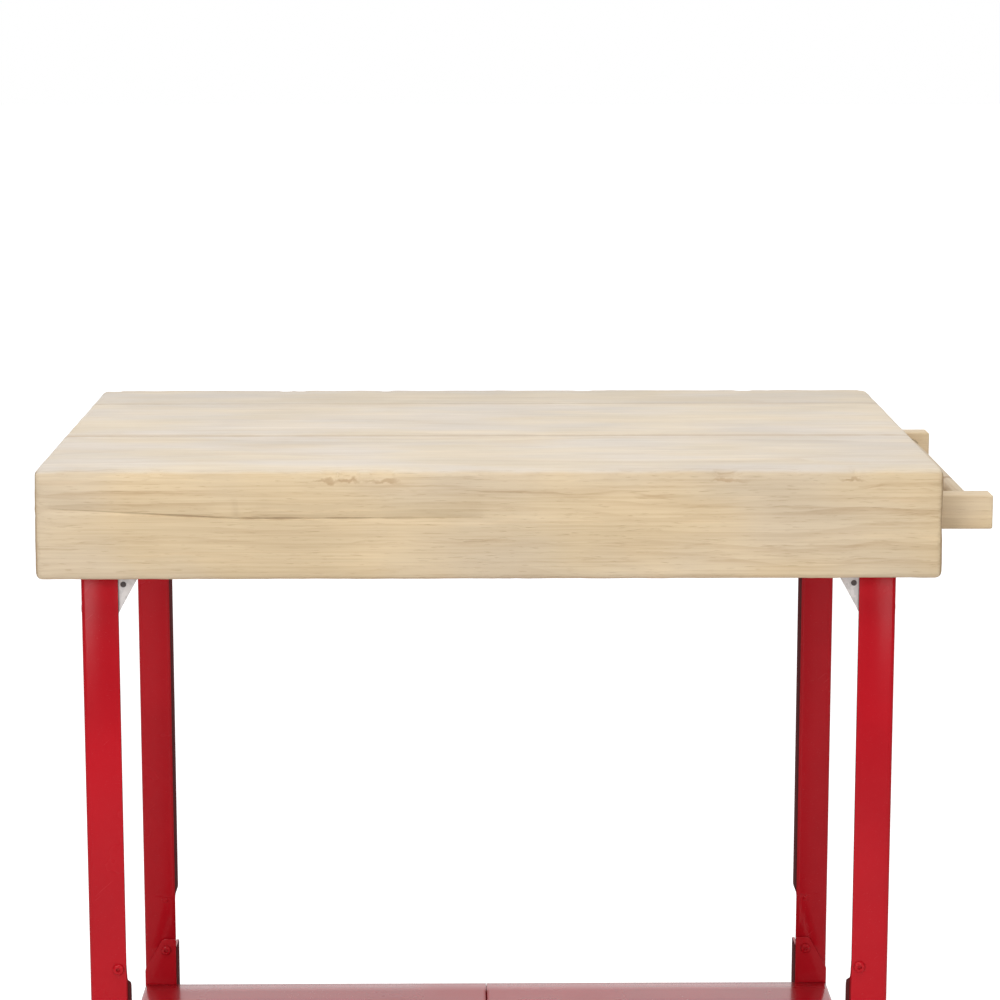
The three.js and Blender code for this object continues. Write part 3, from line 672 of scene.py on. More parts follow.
def use_group(tree, name, **values):
    """Places a shared node group in a material. Its sockets' names have _ for a space."""
    if name not in bpy.data.node_groups:
        GROUP_MAKERS[name]()
    made = tree.add("ShaderNodeGroup", node_tree=bpy.data.node_groups[name])
    for key, value in values.items():
        tree.feed(made.inputs[key.replace("_", " ")], value)
    return made.outputs


def bump(tree, shader, height, distance, strength=1.0):
    made = tree.add("ShaderNodeBump")
    made.inputs["Distance"].default_value = distance
    made.inputs["Strength"].default_value = strength
    tree.feed(made.inputs["Height"], height)
    tree.feed(shader.inputs["Normal"], made.outputs["Normal"])


def colour4(value):
    return (*value, 1.0)


def scaled(value, factor):
    return tuple(channel * factor for channel in value)


def timber_material(
    name, pith, turn=(0, 0, 0), tone=1.0, figure=0.035, streaks=0.5, contrast=1.0, board=False, check=False,
):
    """Sawn timber with its grain along the turned X axis. pith is the heart of the log, as a point in the row
    frame, which sets how the rings cross the piece. A board has painted shade on the rounded arrises of its
    ends, and is darker along its rear edge."""
    look = bpy.context.scene.workbench_timber
    material, tree, shader, place = new_material(name)
    mapping = tree.add("ShaderNodeMapping", vector_type="TEXTURE")
    tree.feed(mapping.inputs["Vector"], place)
    mapping.inputs["Location"].default_value = pith
    mapping.inputs["Rotation"].default_value = turn
    along, back, up = tree.split(place)
    # The upper face, with a ragged edge, is blended towards the lit top colour, and its dark grain is
    # lightened too: painted light on the top face.
    uneven = tree.stretched_noise(place, (17, 9, 9), 3.0, 0.55)
    lift = tree.math("MULTIPLY_ADD", tree.minus(uneven, 0.5), 5 * MM, up)
    lit = tree.spread(lift, SURFACE_HEIGHT - 3.2 * MM, SURFACE_HEIGHT - 0.4 * MM)
    pale = tree.blend(lit, colour4(scaled(look.pale, tone)), colour4(scaled(look.lit_top, tone)))
    lit_dark = tuple(0.55 * a + 0.45 * b for a, b in zip(look.lit_top, look.dark))
    dark = tree.blend(lit, colour4(scaled(look.dark, tone)), colour4(scaled(lit_dark, tone)))
    grain = use_group(
        tree, "Timber grain", Vector=mapping.outputs[0], Pale=pale, Dark=dark,
        Ring_Spacing=look.ring_spacing, Figure=figure, Streaks=streaks, Contrast=contrast,
    )
    marks = use_group(tree, "Handling marks", Vector=place, Scratch_Length=0.03, Amount=0.5)
    colour = grain["Color"]
    height = grain["Height"]
    soiled = tree.times(marks["Rub"], 0.12)
    colour = tree.blend(soiled, colour, colour4(scaled(look.dark, 1.25)))
    for seam, strength in (("front", 0.85), ("rear", 0.5)):
        low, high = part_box(f"top_spline_{seam}")
        off = tree.gap(back, (low.y + high.y) / 2)
        spill = tree.spread(tree.stretched_noise(place, (35, 6, 6), 3.0), 0.3, 0.7, 3 * MM, 9 * MM)
        stain = tree.spread(off, spill, 0.5 * MM, 0.0, strength)
        colour = tree.blend(stain, colour, dark)
    if board:
        # Painted shade on the rounded arrises at the board's ends, and a darker band along its rear edge.
        ends = [tree.spread(tree.gap(along, end), 2.6 * MM, 1.0 * MM) for end in (TOP_LOW.x, TOP_HIGH.x)]
        edges = tree.math("MAXIMUM", *ends)
        rear = tree.spread(tree.minus(TOP_HIGH.y, back), 11 * MM, 3 * MM, 0.0, 0.65)
        edges = tree.math("MAXIMUM", edges, rear)
        colour = tree.blend(tree.times(edges, 0.7), colour, colour4(scaled(look.dark, 0.9)))
    if check:
        line = check_mask(tree, place)
        # The check's line is painted dark: painted shade inside the open check.
        colour = tree.blend(tree.times(line, 0.6), colour, colour4(scaled(look.dark, 0.6)))
        height = tree.minus(height, line)
        # Painted shade under the chips of the front arris.
        colour = tree.blend(chip_shade_mask(tree, place), colour, colour4(look.dark))
    tree.feed(shader.inputs["Base Color"], colour)
    rough = tree.minus(grain["Roughness"], tree.times(marks["Rub"], 0.12))
    tree.feed(shader.inputs["Roughness"], rough)
    shader.inputs["Specular IOR Level"].default_value = 0.3
    bump(tree, shader, tree.minus(height, tree.times(marks["Scratch"], 0.6)), 0.2 * MM)
    return material


def check_mask(tree, place):
    """The fine drying check along the grain, along the same line as its groove."""
    x, _, z = tree.split(place)
    (start, start_z), (knee, knee_z), (end, end_z) = CHECK_LINE
    first = tree.add("ShaderNodeMapRange")
    for name, number in (
        ("Value", x), ("From Min", start), ("From Max", knee), ("To Min", start_z), ("To Max", knee_z),
    ):
        tree.feed(first.inputs[name], number)
    off = tree.gap(z, first.outputs["Result"])
    width = tree.noise(tree.merge(tree.times(x, 34.0), 0.1, 0.9), 1.0, 3.0)
    half = tree.spread(width, 0.35, 0.7, 0.15 * MM, 0.8 * MM)
    line = tree.spread(tree.math("DIVIDE", off, half), 1.6, 0.4)
    begins = tree.spread(x, start, knee, 0.35, 1.0)
    ends = tree.spread(x, end, knee + 0.05, 0.15, 1.0)
    inside = tree.times(tree.spread(x, start - 2 * MM, start + 8 * MM), tree.spread(x, end + 9 * MM, end))
    return tree.times(tree.times(line, inside), tree.times(begins, ends))


def chip_shade_mask(tree, place):
    """Painted shade in the torn grain just below the chips of the front arris."""
    x, _, z = tree.split(place)
    ragged = tree.times(tree.minus(tree.stretched_noise(place, (110, 30, 110), 3.0), 0.5), 9.0)
    total = 0.0
    for offset, depth in FRONT_CHIPS:
        along = tree.math("DIVIDE", tree.minus(x, TOP_LOW.x + offset * MM), CHIP_HALF_LENGTH)
        drop = tree.math("DIVIDE", tree.minus(z, SURFACE_HEIGHT - CHIP_DROP), CHIP_HALF_HEIGHT)
        off = tree.vector("LENGTH", tree.merge(along, tree.math("ADD", drop, ragged), 0.0))
        total = tree.math("MAXIMUM", total, tree.spread(off, 1.5, 0.4, 0.0, depth / CHIP_FULL_DEPTH))
    return total


def paint_material(name, tone=1.0, peel=0.5, waves=0.5, roughness=0.22, gloss=0.2, coat=0.0):
    """Semi-gloss red powder coat on steel, with painted shade and a rougher finish on the sides that face the
    bench's middle.
    """
    look = bpy.context.scene.workbench_steel
    material, tree, shader, place = new_material(name)
    along = tree.split(place)[0]
    towards = tree.math("SIGN", tree.minus(BENCH_MIDDLE, along))
    facing = tree.split(place.node.outputs["Normal"])[0]
    inward = tree.spread(tree.times(facing, towards), 0.80, 0.97)
    surface = use_group(tree, "Powder coat", Vector=place, Peel_Size=1.5 * MM, Peel=peel, Waves=waves)
    marks = use_group(tree, "Handling marks", Vector=place, Scratch_Length=0.05, Amount=0.6)
    # Sides facing the bench's middle get a much darker red: painted shade on the legs' inner flanges.
    paint = tree.blend(inward, colour4(scaled(look.paint, tone)), colour4(scaled(look.paint, 0.2)))
    colour = tree.tinted(paint, surface["Shade"])
    scuffed = (min(1.0, look.paint[0] * 1.25), look.paint[1] + 0.05, look.paint[2] + 0.05, 1.0)
    colour = tree.blend(tree.times(marks["Scratch"], 0.5), colour, scuffed)
    colour = tree.blend(tree.times(marks["Dust"], 0.12), colour, PAINT_DUST)
    tree.feed(shader.inputs["Base Color"], colour)
    rough = tree.math("MULTIPLY_ADD", marks["Rub"], 0.16, roughness)
    rough = tree.math("ADD", rough, tree.times(marks["Scratch"], 0.2))
    rough = tree.math("MAXIMUM", rough, inward)
    tree.feed(shader.inputs["Roughness"], rough)
    shader.inputs["Specular IOR Level"].default_value = gloss
    if coat > 0:
        shader.inputs["Coat Weight"].default_value = coat
        shader.inputs["Coat Roughness"].default_value = 0.09
    bump(tree, shader, surface["Height"], 0.05 * MM)
    return material


def zinc_material(name):
    """Bright zinc plate with a faint spangle, dulled by handling."""
    look = bpy.context.scene.workbench_hardware
    material, tree, shader, place = new_material(name)
    spangle = tree.add("ShaderNodeTexVoronoi")
    tree.feed(spangle.inputs["Vector"], place)
    spangle.inputs["Scale"].default_value = 380
    cell = tree.split(spangle.outputs["Color"])[0]
    marks = use_group(tree, "Handling marks", Vector=place, Scratch_Length=0.015, Amount=0.9)
    tone = tree.spread(cell, 0.0, 1.0, 0.88, 1.08)
    colour = tree.tinted(colour4(look.zinc), tone)
    colour = tree.blend(tree.times(marks["Rub"], 0.3), colour, RUBBED_ZINC)
    tree.feed(shader.inputs["Base Color"], colour)
    tree.feed(shader.inputs["Metallic"], tree.spread(marks["Rub"], 0.0, 1.0, 0.45, 0.3))
    tree.feed(shader.inputs["Roughness"], tree.spread(cell, 0.0, 1.0, 0.38, 0.52))
    relief = tree.minus(tree.times(cell, 0.2), marks["Scratch"])
    bump(tree, shader, relief, 0.03 * MM)
    return material


def moulded_material(name, colour):
    """Matt moulded rubber, also used for the dark plugs that stand in for the shade in the brackets' holes,
    with floor dust where it stands on the floor.
    """
    material, tree, shader, place = new_material(name)
    marks = use_group(tree, "Handling marks", Vector=place, Scratch_Length=0.01, Amount=1.0)
    _, _, up = tree.split(place)
    low = tree.spread(up, 5 * MM, 0.0, 0.0, 0.5)
    dusty = tree.times(low, tree.spread(tree.noise(place, 160.0, 3.0), 0.35, 0.65))
    colour = tree.blend(dusty, colour4(colour), FLOOR_DUST)
    colour = tree.blend(tree.times(marks["Dust"], 0.4), colour, FOOT_SPECKS)
    tree.feed(shader.inputs["Base Color"], colour)
    tree.feed(shader.inputs["Roughness"], tree.spread(marks["Rub"], 0.0, 1.0, 0.78, 0.6))
    bump(tree, shader, tree.noise(place, 1900.0, 2.0), 0.06 * MM)
    return material


def shared(name, maker, **values):
    """The material of that name, made the first time it is asked for."""
    return bpy.data.materials.get(name) or maker(name, **values)


# ------------------------------------------------------------------ timber top


def plane_board(board, seed):
    """One board of the top: rounded where it is an outer edge, barely eased at a seam."""
    look = bpy.context.scene.workbench_timber
    low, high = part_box(f"top_board_{board}")
    piece = new_box(f"planed_board_{board}", low, high)
    outer_front = near(low.y, TOP_LOW.y)
    outer_rear = near(high.y, TOP_HIGH.y)
    sides = ((low.y, outer_front), (high.y, outer_rear))

    def on_side(a, b, outer):
        return any(near(a.y, y) and near(b.y, y) for y, is_outer in sides if is_outer == outer)

    def outer_edge(a, b):
        across_end = near(a.x, b.x) and not near(a.y, b.y)
        return across_end or on_side(a, b, outer=True)

    def seam_edge(a, b):
        at_face = near(a.z, low.z) or near(a.z, high.z)
        return whole_length(a, b) and at_face and on_side(a, b, outer=False)

    edit(piece)
    choose_lines(piece, outer_edge)
    bpy.ops.mesh.bevel(offset=look.arris, segments=4, affect="EDGES")
    choose_lines(piece, seam_edge)
    bpy.ops.mesh.bevel(offset=look.seam_ease, segments=2, affect="EDGES")
    choose_lines(piece, whole_length)
    bpy.ops.mesh.subdivide_edgering(number_cuts=LENGTH_CUTS, interpolation="LINEAR")
    near_edge = [look.arris + step * MM for step in (2.5, 6, 11)]
    rows = [low.y + step for step in near_edge if outer_front]
    rows += [high.y - step for step in near_edge if outer_rear]
    first = rows[-1] if outer_front else low.y
    rows += [first + (high.y - first) * row / MIDDLE_ROWS for row in range(1, MIDDLE_ROWS)]
    for row in rows:
        slice_at((0, row, 0), (0, 1, 0))
    levels = [low.z + step for step in near_edge] + [high.z - step for step in near_edge]
    levels += [low.z + (high.z - low.z) * share for share in (0.35, 0.5)]
    for level in levels:
        slice_at((0, 0, level), (0, 0, 1))
    if outer_front:
        for (x, z), (next_x, next_z) in zip(CHECK_LINE, CHECK_LINE[1:]):
            for offset in (-1.6, -0.5, 0.5, 1.6):
                slope = (next_z - z) / (next_x - x)
                slice_at((x, 0, z + offset * MM), (-slope, 0, 1))
    done()
    wear_edges(piece, board, low, high, seed)
    if outer_front:
        open_check(piece, low.y)
    house_splines(piece)
    smooth(piece, 40)
    return piece


def wear_edges(piece, board, low, high, seed):
    """The wander and the small chips of edges that were worked by hand."""
    look = bpy.context.scene.workbench_timber
    reach = 2.2 * look.arris
    worn = piece.vertex_groups.new(name="worn")
    for vertex in piece.data.vertices:
        depths = sorted((
            min(vertex.co.y - TOP_LOW.y, TOP_HIGH.y - vertex.co.y),
            min(vertex.co.z - low.z, high.z - vertex.co.z),
            min(vertex.co.x - low.x, high.x - vertex.co.x),
        ))
        weight = math.exp(-((depths[1] / reach) ** 2))
        upper_front = vertex.co.z > (low.z + high.z) / 2 and vertex.co.y < TOP_LOW.y + reach
        if weight > 0.02:
            worn.add([vertex.index], weight * (1.0 if upper_front else 0.3), "ADD")
    for size, strength in ((22 * MM, look.wobble), (6 * MM, look.wobble * 0.3)):
        pattern = bpy.data.textures.new(f"{board}_wander", "CLOUDS")
        pattern.noise_scale = size
        pattern.noise_depth = 2
        finish_modifier(
            piece, "DISPLACE", texture=pattern, texture_coords="LOCAL", vertex_group="worn",
            strength=strength, mid_level=0.8,
        )
    draw = random.Random(seed)
    edges = [y for y in (low.y, high.y) if near(y, TOP_LOW.y) or near(y, TOP_HIGH.y)]
    chips = [(TOP_LOW.x + x * MM, low.y, depth * MM) for x, depth in FRONT_CHIPS if board == "front"]
    chips += [
        (draw.uniform(low.x, high.x), y, draw.uniform(0.3, 0.9) * MM) for y in edges for _ in range(7)
    ]
    edit(piece)
    for x, y, depth in chips:
        knock_chip(piece, Vector((x, y, high.z)), depth, draw.uniform(2, 7) * MM)
    done()


def knock_chip(piece, place, depth, half_length):
    """Presses a short run of an upper arris down and in."""
    look = bpy.context.scene.workbench_timber
    inward = 1 if place.y < 0 else -1
    choose(
        piece, "VERT",
        lambda point: abs(point.x - place.x) < half_length
        and point.z > place.z - 1.1 * look.arris and abs(point.y - place.y) < 1.1 * look.arris,
    )
    bpy.ops.transform.translate(
        value=(0, inward * depth * 0.6, -depth), use_proportional_edit=True,
        proportional_edit_falloff="SHARP", proportional_size=5 * MM, orient_type="GLOBAL",
    )


def open_check(piece, face):
    """Opens the drying check: the strip between its two middle rows is pushed in."""
    look = bpy.context.scene.workbench_timber
    edit(piece)
    (start, start_z), (knee, knee_z), (end, end_z) = CHECK_LINE

    def in_check(point):
        if not (start < point.x < end and point.y < face + 3 * MM):
            return False
        share = min(1.0, (point.x - start) / (knee - start))
        return abs(point.z - (start_z + (knee_z - start_z) * share)) < 0.8 * MM

    choose(piece, "VERT", in_check)
    bpy.ops.transform.translate(value=(0, look.check_depth, 0))
    done()


def house_splines(piece):
    """Cuts the stopped grooves that the loose splines lie in."""
    clear = Vector((FIT, FIT, FIT))
    for seam in ("front", "rear"):
        low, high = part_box(f"top_spline_{seam}")
        middle = (low.y + high.y) / 2
        rows = [vertex.co.y for vertex in piece.data.vertices]
        if min(rows) - 1 * MM < middle < max(rows) + 1 * MM:
            cut_away(piece, new_box("groove", low - clear, high + clear))


class WORKBENCH_OT_timber_top(bpy.types.Operator):
    """Model the three boards of the top and finish the splines between them"""

    bl_idname = "workbench.timber_top"
    bl_label = "Timber top"
    bl_options = {"REGISTER", "UNDO"}

    def execute(self, context):
        middle = (UNDERSIDE_HEIGHT + SURFACE_HEIGHT) / 2
        boards = {
            "front": dict(
                pith=(0.05, -0.105, middle - 0.10), tone=1.0, figure=0.060, streaks=0.55,
                check=True,
            ),
            "middle": dict(pith=(0.31, 0.060, middle - 0.19), tone=1.03, figure=0.045, streaks=0.35),
            "rear": dict(pith=(-0.22, 0.150, middle - 0.13), tone=0.97, figure=0.050, streaks=0.5),
        }
        for seed, board in enumerate(TOP_BOARDS, start=1):
            piece = plane_board(board, seed)
            material = timber_material(f"Timber {board} board", board=True, **boards[board])
            hand_over(piece, material, [f"top_board_{board}"])
        ply = timber_material("Spline plywood", pith=(0.1, 0.3, middle - 0.4), tone=0.85, contrast=0.6)
        for seam in ("front", "rear"):
            dress(f"top_spline_{seam}", ply, ease=0.5 * MM)
        return {"FINISHED"}


# ------------------------------------------------------------------ legs


def fold_leg(corner):
    """A leg pressed from sheet: a front plate with its flanges folded back."""
    steel = bpy.context.scene.workbench_steel
    rear = corner.startswith("rear")
    hand = inner_sign(corner)
    low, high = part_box(f"leg_{corner}")
    outer, inner = outer_and_inner(low, high, hand)
    depth = high.y - low.y
    piece = new_plate(f"pressed_leg_{corner}", (low.x, low.y, low.z), (high.x, low.y, high.z))
    edit(piece)
    notch_low = SHELF_HEIGHT + steel.notch_rise
    notch_high = notch_low + steel.notch_height
    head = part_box(f"corner_bracket_{corner}")[0].z - FIT
    if rear:
        for level in (notch_low, notch_high, head):
            slice_at((0, 0, level), (0, 0, 1))
    choose(piece, "EDGE", at(x=outer))
    extrude((0, depth, 0))
    folds = [at(x=outer, y=low.y)]
    if rear:
        for bottom, top in ((low.z, notch_low), (notch_high, head)):
            folds.append(at(x=inner, y=low.y, above=bottom, below=top))
            choose(piece, "EDGE", folds[-1])
            extrude((0, depth, 0))
        corners = [at(x=inner, y=high.y, z=level) for level in (notch_low, notch_high, head)]
        choose(piece, "VERT", lambda point: any(corner(point) for corner in corners))
        bpy.ops.mesh.bevel(offset=3 * MM, segments=3, affect="VERTICES")
    done()
    press(piece, steel.leg_sheet, folds, steel.fold_radius, steel.cut_ease)
    if rear:
        x = inner - hand * steel.spare_hole_inset
        z = SHELF_HEIGHT + steel.spare_hole_rise
        drill = new_round("drill", steel.spare_hole / 2, (x, low.y - 5 * MM, z), (x, low.y + 5 * MM, z))
        cut_away(piece, drill)
        smooth(piece)
    return piece


def fold_stiffener(side):
    """The angle behind a front leg's face, whose flange closes the leg's open side."""
    steel = bpy.context.scene.workbench_steel
    hand = inner_sign(side)
    low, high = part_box(f"leg_stiffener_{side}")
    outer, inner = outer_and_inner(low, high, hand)
    flange_top = SHELF_HEIGHT + steel.stiffener_flange_rise + steel.stiffener_flange_slope
    piece = new_plate(f"pressed_stiffener_{side}", (low.x, low.y, low.z), (high.x, low.y, high.z))
    edit(piece)
    slice_at((0, 0, flange_top), (0, 0, 1))
    choose(piece, "EDGE", at(x=inner, below=flange_top))
    extrude((0, high.y - low.y, 0))
    choose(piece, "VERT", at(x=inner, z=high.z))
    bpy.ops.transform.translate(value=(-hand * 1 * MM, 0, 0))
    choose(piece, "VERT", at(x=inner, y=high.y, z=flange_top))
    bpy.ops.transform.translate(value=(0, 0, -steel.stiffener_flange_slope))
    bpy.ops.mesh.bevel(offset=4 * MM, segments=3, affect="VERTICES")
    done()
    folds = [at(x=inner, y=low.y, below=flange_top)]
    press(piece, steel.leg_sheet, folds, steel.fold_radius * 0.9, steel.cut_ease)
    return piece


class WORKBENCH_OT_legs(bpy.types.Operator):
    """Model the four legs and the two stiffeners of the front legs"""

    bl_idname = "workbench.legs"
    bl_label = "Legs"
    bl_options = {"REGISTER", "UNDO"}

    def execute(self, context):
        paint = shared("Red powder coat", paint_material)
        for corner in CORNERS:
            hand_over(fold_leg(corner), paint, [f"leg_{corner}"])
        for side in SIDES:
            hand_over(fold_stiffener(side), paint, [f"leg_stiffener_{side}"])
        return {"FINISHED"}


class WORKBENCH_OT_corner_brackets(bpy.types.Operator):
    """Finish the zinc brackets between the legs and the top"""

    bl_idname = "workbench.corner_brackets"
    bl_label = "Corner brackets"
    bl_options = {"REGISTER", "UNDO"}

    def execute(self, context):
        zinc = shared("Zinc plate", zinc_material)
        for corner in CORNERS:
            dress(f"corner_bracket_{corner}", zinc, ease=0.25 * MM)
        return {"FINISHED"}


def mould_foot(corner, low, high, thickness):
    """A pad under the leg, with a hollow plug that stands inside it."""
    steel = bpy.context.scene.workbench_steel
    hand = inner_sign(corner)
    leg_low, leg_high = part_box(f"leg_{corner}")
    outer, _ = outer_and_inner(leg_low, leg_high, hand)
    _, inner = outer_and_inner(low, high, hand)
    margin = abs(outer - outer_and_inner(low, high, hand)[0])
    wall = steel.leg_sheet + 1.0 * MM
    wall_front = wall + (steel.leg_sheet + FIT if corner.startswith("front") else 0)
    foot = new_box(f"moulded_foot_{corner}", low, (high.x, high.y, low.z + thickness))
    edit(foot)
    choose_lines(foot, upright)
    bpy.ops.mesh.bevel(offset=3 * MM, segments=4, affect="EDGES")
    done()
    plug_x = sorted((outer + hand * wall, inner - hand * (margin + wall)))
    plug = new_box(
        "plug", (plug_x[0], leg_low.y + wall_front, low.z + thickness / 2),
        (plug_x[1], leg_high.y - 1.0 * MM, high.z),
    )
    edit(plug)
    choose_lines(plug, upright)
    bpy.ops.mesh.bevel(offset=1.5 * MM, segments=3, affect="EDGES")
    choose(plug, "FACE", at(z=high.z))
    bpy.ops.mesh.inset(thickness=2.2 * MM)
    extrude((0, 0, -8 * MM))
    done()
    unite(foot, plug)
    ease_edges(foot, 0.6 * MM, degrees=40, segments=3)
    return foot


class WORKBENCH_OT_feet(bpy.types.Operator):
    """Model the four moulded feet"""

    bl_idname = "workbench.feet"
    bl_label = "Feet"
    bl_options = {"REGISTER", "UNDO"}

    def execute(self, context):
        hardware = context.scene.workbench_hardware
        rubber = shared("Foot rubber", moulded_material, colour=hardware.rubber)
        for corner in CORNERS:
            low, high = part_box(f"foot_{corner}")
            pad = mould_foot(corner, low, high, hardware.foot_pad)
            hand_over(pad, rubber, [f"foot_{corner}"])
        return {"FINISHED"}


# ------------------------------------------------------------------ shelf


def fold_tray(side):
    """Half of the shelf: a sheet with its front, outer and seam edges turned down."""
    steel = bpy.context.scene.workbench_steel
    hand = inner_sign(side)
    low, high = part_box(f"shelf_tray_{side}")
    outer, seam = outer_and_inner(low, high, hand)
    leg_low, leg_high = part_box(f"leg_stiffener_{side}")
    cut_side = (leg_high.x if hand > 0 else leg_low.x) + hand * FIT
    cut_back = leg_high.y + FIT
    rib_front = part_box("shelf_front_beam")[1].y + FIT
    rib_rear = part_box("shelf_side_rail_left")[1].y - steel.ledge - FIT
    piece = new_plate(f"folded_tray_{side}", (low.x, low.y, high.z), (high.x, high.y, high.z))
    edit(piece)
    slice_at((cut_side, 0, 0), (1, 0, 0))
    for level in (cut_back, rib_front, rib_rear):
        slice_at((0, level, 0), (0, 1, 0))
    choose(piece, "FACE", lambda point: hand * (cut_side - point.x) > -NEAR and point.y < cut_back + NEAR)
    bpy.ops.mesh.delete(type="FACE")

    def seam_fold(point):
        return near(point.x, seam) and near(point.z, high.z) and rib_front - NEAR < point.y < rib_rear + NEAR

    folds = (at(y=low.y, z=high.z), at(x=outer, z=high.z), seam_fold)
    for fold in folds:
        choose(piece, "EDGE", fold)
        extrude((0, 0, low.z - high.z))
    done()
    press(piece, steel.tray_sheet, folds, steel.tray_sheet + 0.9 * MM, steel.cut_ease)
    return piece


def fold_side_rail(side):
    """The angle under the end of the shelf, with the tab that bolts to the rear leg."""
    steel = bpy.context.scene.workbench_steel
    hand = inner_sign(side)
    low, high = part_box(f"shelf_side_rail_{side}")
    outer, inner = outer_and_inner(low, high, hand)
    leg_low, leg_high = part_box(f"leg_front_{side}")
    web = (leg_low.x if hand > 0 else leg_high.x) + hand * (steel.leg_sheet + FIT)
    rail_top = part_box("shelf_front_beam")[1].z
    piece = new_plate(f"folded_side_rail_{side}", (web, low.y, low.z), (web, high.y - 0.5 * MM, rail_top))
    edit(piece)
    if hand < 0:
        bpy.ops.mesh.select_all(action="SELECT")
        bpy.ops.mesh.flip_normals()
    choose(piece, "EDGE", at(z=rail_top))
    extrude((hand * steel.ledge, 0, 0))
    done()
    press(piece, steel.leg_sheet, [at(x=web, z=rail_top)], steel.fold_radius, steel.cut_ease)
    tab_top = SHELF_HEIGHT + steel.tab_inner_rise
    tab_y = high.y - steel.leg_sheet
    tab = new_plate("tab", (low.x, tab_y, low.z), (high.x, tab_y, tab_top))
    edit(tab)
    slope_width = high.x - low.x - steel.tab_top
    choose(tab, "VERT", at(x=outer, z=tab_top))
    bpy.ops.mesh.bevel(offset=slope_width, segments=1, affect="VERTICES")
    choose(tab, "VERT", at(x=outer, above=SHELF_HEIGHT))
    bpy.ops.transform.translate(value=(0, 0, SHELF_HEIGHT + steel.tab_outer_rise - tab_top + slope_width))
    choose(tab, "VERT", at())
    bpy.ops.mesh.bevel(offset=1.6 * MM, segments=3, affect="VERTICES")
    done()
    finish_modifier(tab, "SOLIDIFY", thickness=steel.leg_sheet, offset=-1)
    ease_edges(tab, steel.cut_ease)
    unite(piece, tab)
    smooth(piece)
    return piece


def fold_beam(place):
    """An angle across the bench, with its ends folded back against the legs."""
    steel = bpy.context.scene.workbench_steel
    low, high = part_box(f"shelf_{place}_beam")
    front = place == "front"
    web = low.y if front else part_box("shelf_side_rail_left")[1].y
    ledge = steel.ledge if front else -steel.ledge
    inset = 0 if front else steel.leg_sheet
    ends = (low.x + inset, high.x - inset)
    piece = new_plate(f"folded_{place}_beam", (ends[0], web, low.z), (ends[1], web, high.z))
    edit(piece)
    if not front:
        bpy.ops.mesh.select_all(action="SELECT")
        bpy.ops.mesh.flip_normals()
    relief = low.z + steel.beam_tab
    slice_at((0, 0, relief), (0, 0, 1))
    choose(piece, "EDGE", at(z=high.z))
    extrude((0, ledge, 0))
    folds = [at(y=web, z=high.z)]
    for end in ends:
        folds.append(at(x=end, y=web, below=relief))
        choose(piece, "EDGE", folds[-1])
        extrude((0, high.y - web, 0))
    done()
    press(piece, steel.leg_sheet, folds, steel.fold_radius, steel.cut_ease)
    return piece


class WORKBENCH_OT_shelf(bpy.types.Operator):
    """Model the trays, the side rails and the beams of the shelf"""

    bl_idname = "workbench.shelf"
    bl_label = "Shelf"
    bl_options = {"REGISTER", "UNDO"}

    def execute(self, context):
        paint = shared("Red powder coat", paint_material)
        # The shelf's copy of the red paint is darkened to tone 0.8: painted shade on the shelf under the top.
        sheet = shared(
            "Shelf powder coat", paint_material, tone=0.8, peel=0.15, waves=0.3, roughness=0.24, gloss=0.25,
            coat=0.55,
        )
        for side in SIDES:
            hand_over(fold_tray(side), sheet, [f"shelf_tray_{side}"])
            hand_over(fold_side_rail(side), paint, [f"shelf_side_rail_{side}"])
        for place in ("front", "rear"):
            hand_over(fold_beam(place), paint, [f"shelf_{place}_beam"])
        return {"FINISHED"}


# ------------------------------------------------------------------ hanging rail


def carve_rail_bracket(end):
    """A wooden block with a blind socket for the rod and two counterbored screw holes."""
    low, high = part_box(f"rail_bracket_{end}")
    rod_low, rod_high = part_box("hanging_rod")
    piece = new_box(f"carved_bracket_{end}", low, high)
    ease_edges(piece, 1.3 * MM, degrees=40, segments=3)
    inward = 1 if end == "front" else -1
    mouth = high.y if inward > 0 else low.y
    centre = (rod_low + rod_high) / 2
    bottom = rod_low.y if inward > 0 else rod_high.y
    radius = (rod_high.x - rod_low.x) / 2 + FIT
    socket = new_round(
        "socket", radius, (centre.x, mouth + inward * 5 * MM, centre.z),
        (centre.x, bottom - inward * 0.6 * MM, centre.z), segments=48,
    )
    cutters = [socket]
    for level in ("upper", "lower"):
        screw_low, screw_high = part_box(f"rail_screw_{end}_{level}")
        y = (screw_low.y + screw_high.y) / 2
        z = (screw_low.z + screw_high.z) / 2
        cutters.append(new_round(
            "counterbore", (screw_high.y - screw_low.y) / 2 + FIT,
            (high.x - 4.5 * MM, y, z), (high.x + 2 * MM, y, z),
        ))
    cut_away(piece, *cutters)
    smooth(piece)
    return piece


